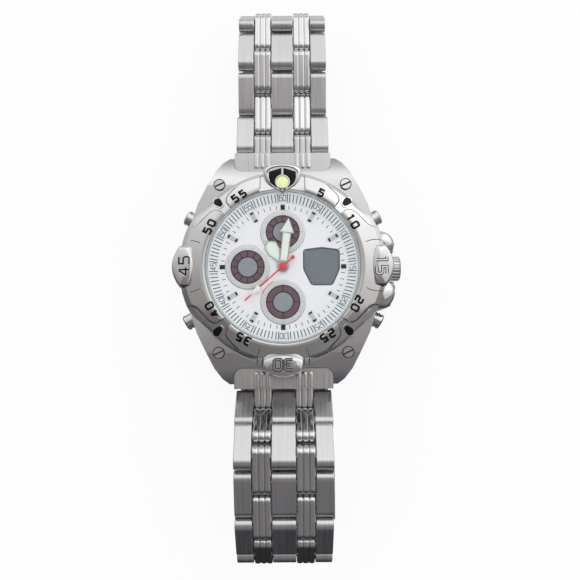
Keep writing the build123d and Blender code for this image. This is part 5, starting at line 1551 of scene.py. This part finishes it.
@dataclass
class Studio:
    """Camera, soft light, pale floor and backdrop.

    The room is stops of colour, and room_sides how bright it is at negative and at positive x. Reflections
    of the floor grow from the first strength of mirrored_light to the second over mirrored_run, which is in
    metres along y. A lamp is its name, place and size in metres, and watts.
    """

    tilt: float = 6.241
    roll: float = -0.379
    focal_pixels: float = 673.466
    frame_pixels: float = 580.0
    sensor_millimetres: float = 36.0
    distance: float = 150.0
    aim: tuple[float, float, float] = (1.507, -4.824, 6.0)
    near_metres: float = 0.01
    far_metres: float = 10.0
    room: tuple[tuple[float, Colour], ...] = (
        (0.0, (0.05, 0.055, 0.07)), (0.06, (0.1, 0.1, 0.12)), (0.13, (0.2, 0.19, 0.2)),
        (0.25, (0.22, 0.21, 0.215)), (0.4, (0.2, 0.185, 0.185)), (0.5, (0.27, 0.255, 0.25)),
        (0.57, (0.42, 0.405, 0.4)), (0.64, (0.62, 0.615, 0.61)), (0.75, (0.78, 0.785, 0.79)),
        (0.85, (0.98, 0.99, 1.0)), (0.905, (1.12, 1.13, 1.14)), (0.945, (0.95, 0.95, 0.96)),
        (0.975, (0.6, 0.6, 0.6)), (1.0, (0.36, 0.35, 0.35)))
    room_sides: Pair = (0.75, 1.4)
    room_light: Colour = (0.92, 0.93, 0.95)
    floor_reach: float = 1.5
    floor_colour: Colour = (0.86, 0.86, 0.86)
    floor_roughness: float = 0.9
    floor_shine: float = 0.1
    floor_glow: float = 0.9
    mirrored_run: Pair = (-0.05, 0.09)
    mirrored_light: Pair = (0.03, 0.8)
    lamps: tuple[tuple[str, tuple[float, float, float], float, float], ...] = (
        ("key", (0.3, 0.16, 0.42), 0.6, 0.45), ("fill", (-0.3, 0.25, 0.45), 0.8, 0.3))

    def camera(self, head: Head) -> None:
        """Put the camera at the photograph's angle.

        Args:
            head: Head that the aim is measured from.
        """
        tilt = math.radians(self.tilt)
        roll = math.radians(self.roll)
        forward = Vector((0.0, math.sin(tilt), -math.cos(tilt)))
        right = Vector((1.0, 0.0, 0.0))
        up = right.cross(forward)
        across = math.cos(roll) * right + math.sin(roll) * up
        upward = -math.sin(roll) * right + math.cos(roll) * up
        target = Vector((np.array(self.aim) + head.origin) * MM)
        data = bpy.data.cameras.new("camera")
        data.sensor_fit = "HORIZONTAL"
        data.sensor_width = self.sensor_millimetres
        data.lens = self.focal_pixels / self.frame_pixels * self.sensor_millimetres
        data.clip_start = self.near_metres
        data.clip_end = self.far_metres
        camera = bpy.data.objects.new("camera", data)
        bpy.context.scene.collection.objects.link(camera)
        matrix = np.eye(4)
        matrix[:3, :3] = np.column_stack([across, upward, -forward])
        matrix[:3, 3] = target - forward * self.distance * MM
        camera.matrix_world = Matrix(matrix.tolist())
        bpy.context.scene.camera = camera

    @staticmethod
    def ramp(tree: Tree, stops: Sequence[tuple[float, Colour]], source: Socket) -> Socket:
        """Add a run of colours over a value from -1 to 1.

        Args:
            tree: Node tree to add to.
            stops: Place from 0 to 1 and colour of each stop, in order.
            source: Value that drives it.

        Returns:
            The colour's socket.
        """
        node = tree.nodes.new("ShaderNodeValToRGB")
        span = tree.nodes.new("ShaderNodeMapRange")
        span.inputs["From Min"].default_value = -1.0
        tree.links.new(source, span.inputs["Value"])
        tree.links.new(span.outputs["Result"], node.inputs["Fac"])
        elements = node.color_ramp.elements
        elements[0].position = stops[0][0]
        elements[1].position = stops[-1][0]
        for position, _ in stops[1:-1]:
            elements.new(position)
        for element, (_, colour) in zip(elements, stops):
            element.color = (*colour, 1.0)
        return node.outputs["Color"]

    def world(self) -> None:
        """Make the surroundings: white behind the object, and a soft room in its reflections.

        The room's light is a run of stops over the direction's y, brighter towards positive x.
        """
        world = bpy.data.worlds.new("studio")
        bpy.context.scene.world = world
        world.use_nodes = True
        tree = world.node_tree
        background = tree.nodes["Background"]
        place = tree.nodes.new("ShaderNodeTexCoord")
        split = tree.nodes.new("ShaderNodeSeparateXYZ")
        tree.links.new(place.outputs["Generated"], split.inputs["Vector"])
        side = tree.nodes.new("ShaderNodeMapRange")
        side.inputs["From Min"].default_value = -1.0
        side.inputs["To Min"].default_value = self.room_sides[0]
        side.inputs["To Max"].default_value = self.room_sides[1]
        tree.links.new(split.outputs["X"], side.inputs["Value"])
        lit = tree.nodes.new("ShaderNodeVectorMath")
        lit.operation = "SCALE"
        tree.links.new(self.ramp(tree, self.room, split.outputs["Y"]), lit.inputs[0])
        tree.links.new(side.outputs["Result"], lit.inputs["Scale"])
        path = tree.nodes.new("ShaderNodeLightPath")
        pick = tree.nodes.new("ShaderNodeMix")
        pick.data_type = "RGBA"
        pick.inputs["A"].default_value = (*self.room_light, 1.0)
        tree.links.new(path.outputs["Is Glossy Ray"], pick.inputs["Factor"])
        tree.links.new(lit.outputs["Vector"], pick.inputs["B"])
        white = tree.nodes.new("ShaderNodeMix")
        white.data_type = "RGBA"
        white.inputs["B"].default_value = (1.0, 1.0, 1.0, 1.0)
        seen = tree.nodes.new("ShaderNodeMath")
        seen.operation = "MAXIMUM"
        tree.links.new(path.outputs["Is Camera Ray"], seen.inputs[0])
        tree.links.new(path.outputs["Is Transmission Ray"], seen.inputs[1])
        tree.links.new(seen.outputs["Value"], white.inputs["Factor"])
        tree.links.new(pick.outputs["Result"], white.inputs["A"])
        tree.links.new(white.outputs["Result"], background.inputs["Color"])

    @staticmethod
    def lamp(name: str, place: tuple[float, float, float], size: float, watts: float) -> None:
        """Hang a soft square lamp that looks at the watch.

        Args:
            name: Lamp's name.
            place: Place in metres.
            size: Length of its side in metres.
            watts: Power.
        """
        data = bpy.data.lights.new(name, "AREA")
        data.size = size
        data.energy = watts
        lamp = bpy.data.objects.new(name, data)
        bpy.context.scene.collection.objects.link(lamp)
        lamp.location = place
        lamp.rotation_euler = (-Vector(place)).to_track_quat("-Z", "Y").to_euler()

    def floor_finish(self) -> bpy.types.Material:
        """Make the floor's material: white to the camera but for a soft shadow, and graded in reflections.

        Returns:
            The material.
        """
        material = bpy.data.materials.new("floor")
        material.use_nodes = True
        tree = material.node_tree
        shader = tree.nodes["Principled BSDF"]
        shader.inputs["Base Color"].default_value = (*self.floor_colour, 1.0)
        shader.inputs["Roughness"].default_value = self.floor_roughness
        shader.inputs["Specular IOR Level"].default_value = self.floor_shine
        glow = tree.nodes.new("ShaderNodeEmission")
        path = tree.nodes.new("ShaderNodeLightPath")
        share = tree.nodes.new("ShaderNodeMath")
        share.operation = "MULTIPLY"
        share.inputs[1].default_value = self.floor_glow
        tree.links.new(path.outputs["Is Camera Ray"], share.inputs[0])
        mix = tree.nodes.new("ShaderNodeMixShader")
        tree.links.new(share.outputs["Value"], mix.inputs["Fac"])
        tree.links.new(shader.outputs["BSDF"], mix.inputs[1])
        tree.links.new(glow.outputs["Emission"], mix.inputs[2])
        place = tree.nodes.new("ShaderNodeTexCoord")
        split = tree.nodes.new("ShaderNodeSeparateXYZ")
        tree.links.new(place.outputs["Object"], split.inputs["Vector"])
        fade = tree.nodes.new("ShaderNodeMapRange")
        fade.inputs["From Min"].default_value = self.mirrored_run[0]
        fade.inputs["From Max"].default_value = self.mirrored_run[1]
        fade.inputs["To Min"].default_value = self.mirrored_light[0]
        fade.inputs["To Max"].default_value = self.mirrored_light[1]
        tree.links.new(split.outputs["Y"], fade.inputs["Value"])
        mirrored = tree.nodes.new("ShaderNodeEmission")
        tree.links.new(fade.outputs["Result"], mirrored.inputs["Strength"])
        pick = tree.nodes.new("ShaderNodeMixShader")
        tree.links.new(path.outputs["Is Glossy Ray"], pick.inputs["Fac"])
        tree.links.new(mix.outputs["Shader"], pick.inputs[1])
        tree.links.new(mirrored.outputs["Emission"], pick.inputs[2])
        tree.links.new(pick.outputs["Shader"], tree.nodes["Material Output"].inputs["Surface"])
        return material

    def floor(self) -> None:
        """Lay the pale floor."""
        reach = self.floor_reach
        corners = [(-reach, -reach, 0.0), (reach, -reach, 0.0), (reach, reach, 0.0), (-reach, reach, 0.0)]
        mesh = bpy.data.meshes.new("floor")
        mesh.from_pydata(corners, [], [(0, 1, 2, 3)])
        mesh.materials.append(self.floor_finish())
        floor = bpy.data.objects.new("floor", mesh)
        bpy.context.scene.collection.objects.link(floor)

    def build(self, head: Head) -> None:
        """Set up the whole studio.

        Args:
            head: Head that the camera looks at.
        """
        bpy.context.scene.view_settings.view_transform = "Standard"
        self.camera(head)
        self.world()
        self.floor()
        for lamp in self.lamps:
            self.lamp(*lamp)


def finishes(centre: np.ndarray) -> dict[str, bpy.types.Material]:
    """Make every finish of the watch.

    Args:
        centre: Dial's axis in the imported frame, in millimetres.

    Returns:
        Materials by name.
    """
    catalogue: list[Finish] = [
        Steel("case", (0.68, 0.68, 0.68), 0.13, Grain.POLISHED, 0.0006, 0.04),
        Steel("satin", (0.7, 0.695, 0.69), 0.17, Grain.EVEN, 0.0004, 0.025),
        Steel("chrome", (0.74, 0.74, 0.74), 0.08, Grain.POLISHED, 0.001, 0.05),
        Steel("polished_rib", (0.72, 0.72, 0.72), 0.12, Grain.POLISHED, 0.001, 0.06),
        Steel("brushed", (0.63, 0.625, 0.62), 0.3, Grain.ALONG_STRAP, 0.004, 0.1),
        Steel("brushed_across", (0.62, 0.62, 0.62), 0.32, Grain.ACROSS_STRAP, 0.004, 0.1),
        Lacquer("dial", (0.9, 0.895, 0.91), 0.35, coat=0.2, mottle=0.015),
        Lacquer("flange", (0.84, 0.87, 0.88), 0.4, mottle=0.015),
        Lacquer("black_enamel", (0.004, 0.004, 0.006), 0.3, mottle=0.3, shine=0.2),
        Lacquer("ink", (0.02, 0.02, 0.03), 0.5, mottle=0.2, shine=0.2),
        Lacquer("slate_ink", (0.06, 0.085, 0.13), 0.5, mottle=0.15, shine=0.2),
        # Near black for painted shade in grooves, screw slots and the gaps round screw heads.
        Lacquer("groove", (0.05, 0.045, 0.045), 0.6, mottle=0.2, shine=0.1),
        Lacquer("grey_ink", (0.28, 0.28, 0.3), 0.5, mottle=0.1),
        Lacquer("grey_disc", (0.26, 0.29, 0.31), 0.4, mottle=0.04),
        Lacquer("display", (0.165, 0.185, 0.2), 0.12, coat=0.5, mottle=0.04),
        Lacquer("lume", (0.8, 0.88, 0.8), 0.6, mottle=0.03, peel=0.004),
        Lacquer("baton_lume", (0.5, 0.58, 0.53), 0.6, mottle=0.05, peel=0.004),
        Lacquer("pip", (0.83, 0.87, 0.4), 0.35, coat=0.4, mottle=0.03),
        Lacquer("red", (0.75, 0.02, 0.03), 0.3, coat=0.6, mottle=0.04),
        Lacquer("nylon", (0.42, 0.47, 0.48), 0.5, mottle=0.06),
        Lacquer("holder", (0.6, 0.6, 0.57), 0.55, mottle=0.05),
        Lacquer("board", (0.02, 0.16, 0.07), 0.4, coat=0.3, mottle=0.15),
        Lacquer("brass", (0.72, 0.53, 0.24), 0.3, metallic=1.0, mottle=0.08),
        Clear("crystal", (0.3, 0.36, 0.36), 0.03, alpha=0.04),
    ]
    for number, (x, y) in enumerate(Dial().small_places, 1):
        place = ((centre[0] + x) * MM, (centre[1] + y) * MM)
        catalogue.append(Snailed(f"snailed_{number}", (0.8, 0.8, 0.81), 0.33, place, 0.45, 0.3))
        catalogue.append(Snailed(f"maroon_{number}", (0.17, 0.075, 0.1), 0.35, place, 0.3, 0.1))
    return {finish.name: finish.build() for finish in catalogue}


def main() -> None:
    """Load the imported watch, dress it, and set up the studio."""
    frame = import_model()
    low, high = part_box("dial")
    back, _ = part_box("case_back")
    origin = np.array([(low.x + high.x) / 2.0, (low.y + high.y) / 2.0, back.z]) / MM
    head = Head(origin, finishes(origin))
    Solids().build(head, frame["nodes"])
    Bezel().build(head)
    Dial().build(head)
    Hands().build(head)
    Controls().build(head)
    Guards().build(head)
    Fittings().build(head)
    Studio().build(head)


if __name__ == "__main__":
    logging.basicConfig(level=logging.INFO, format="%(message)s")
    main()
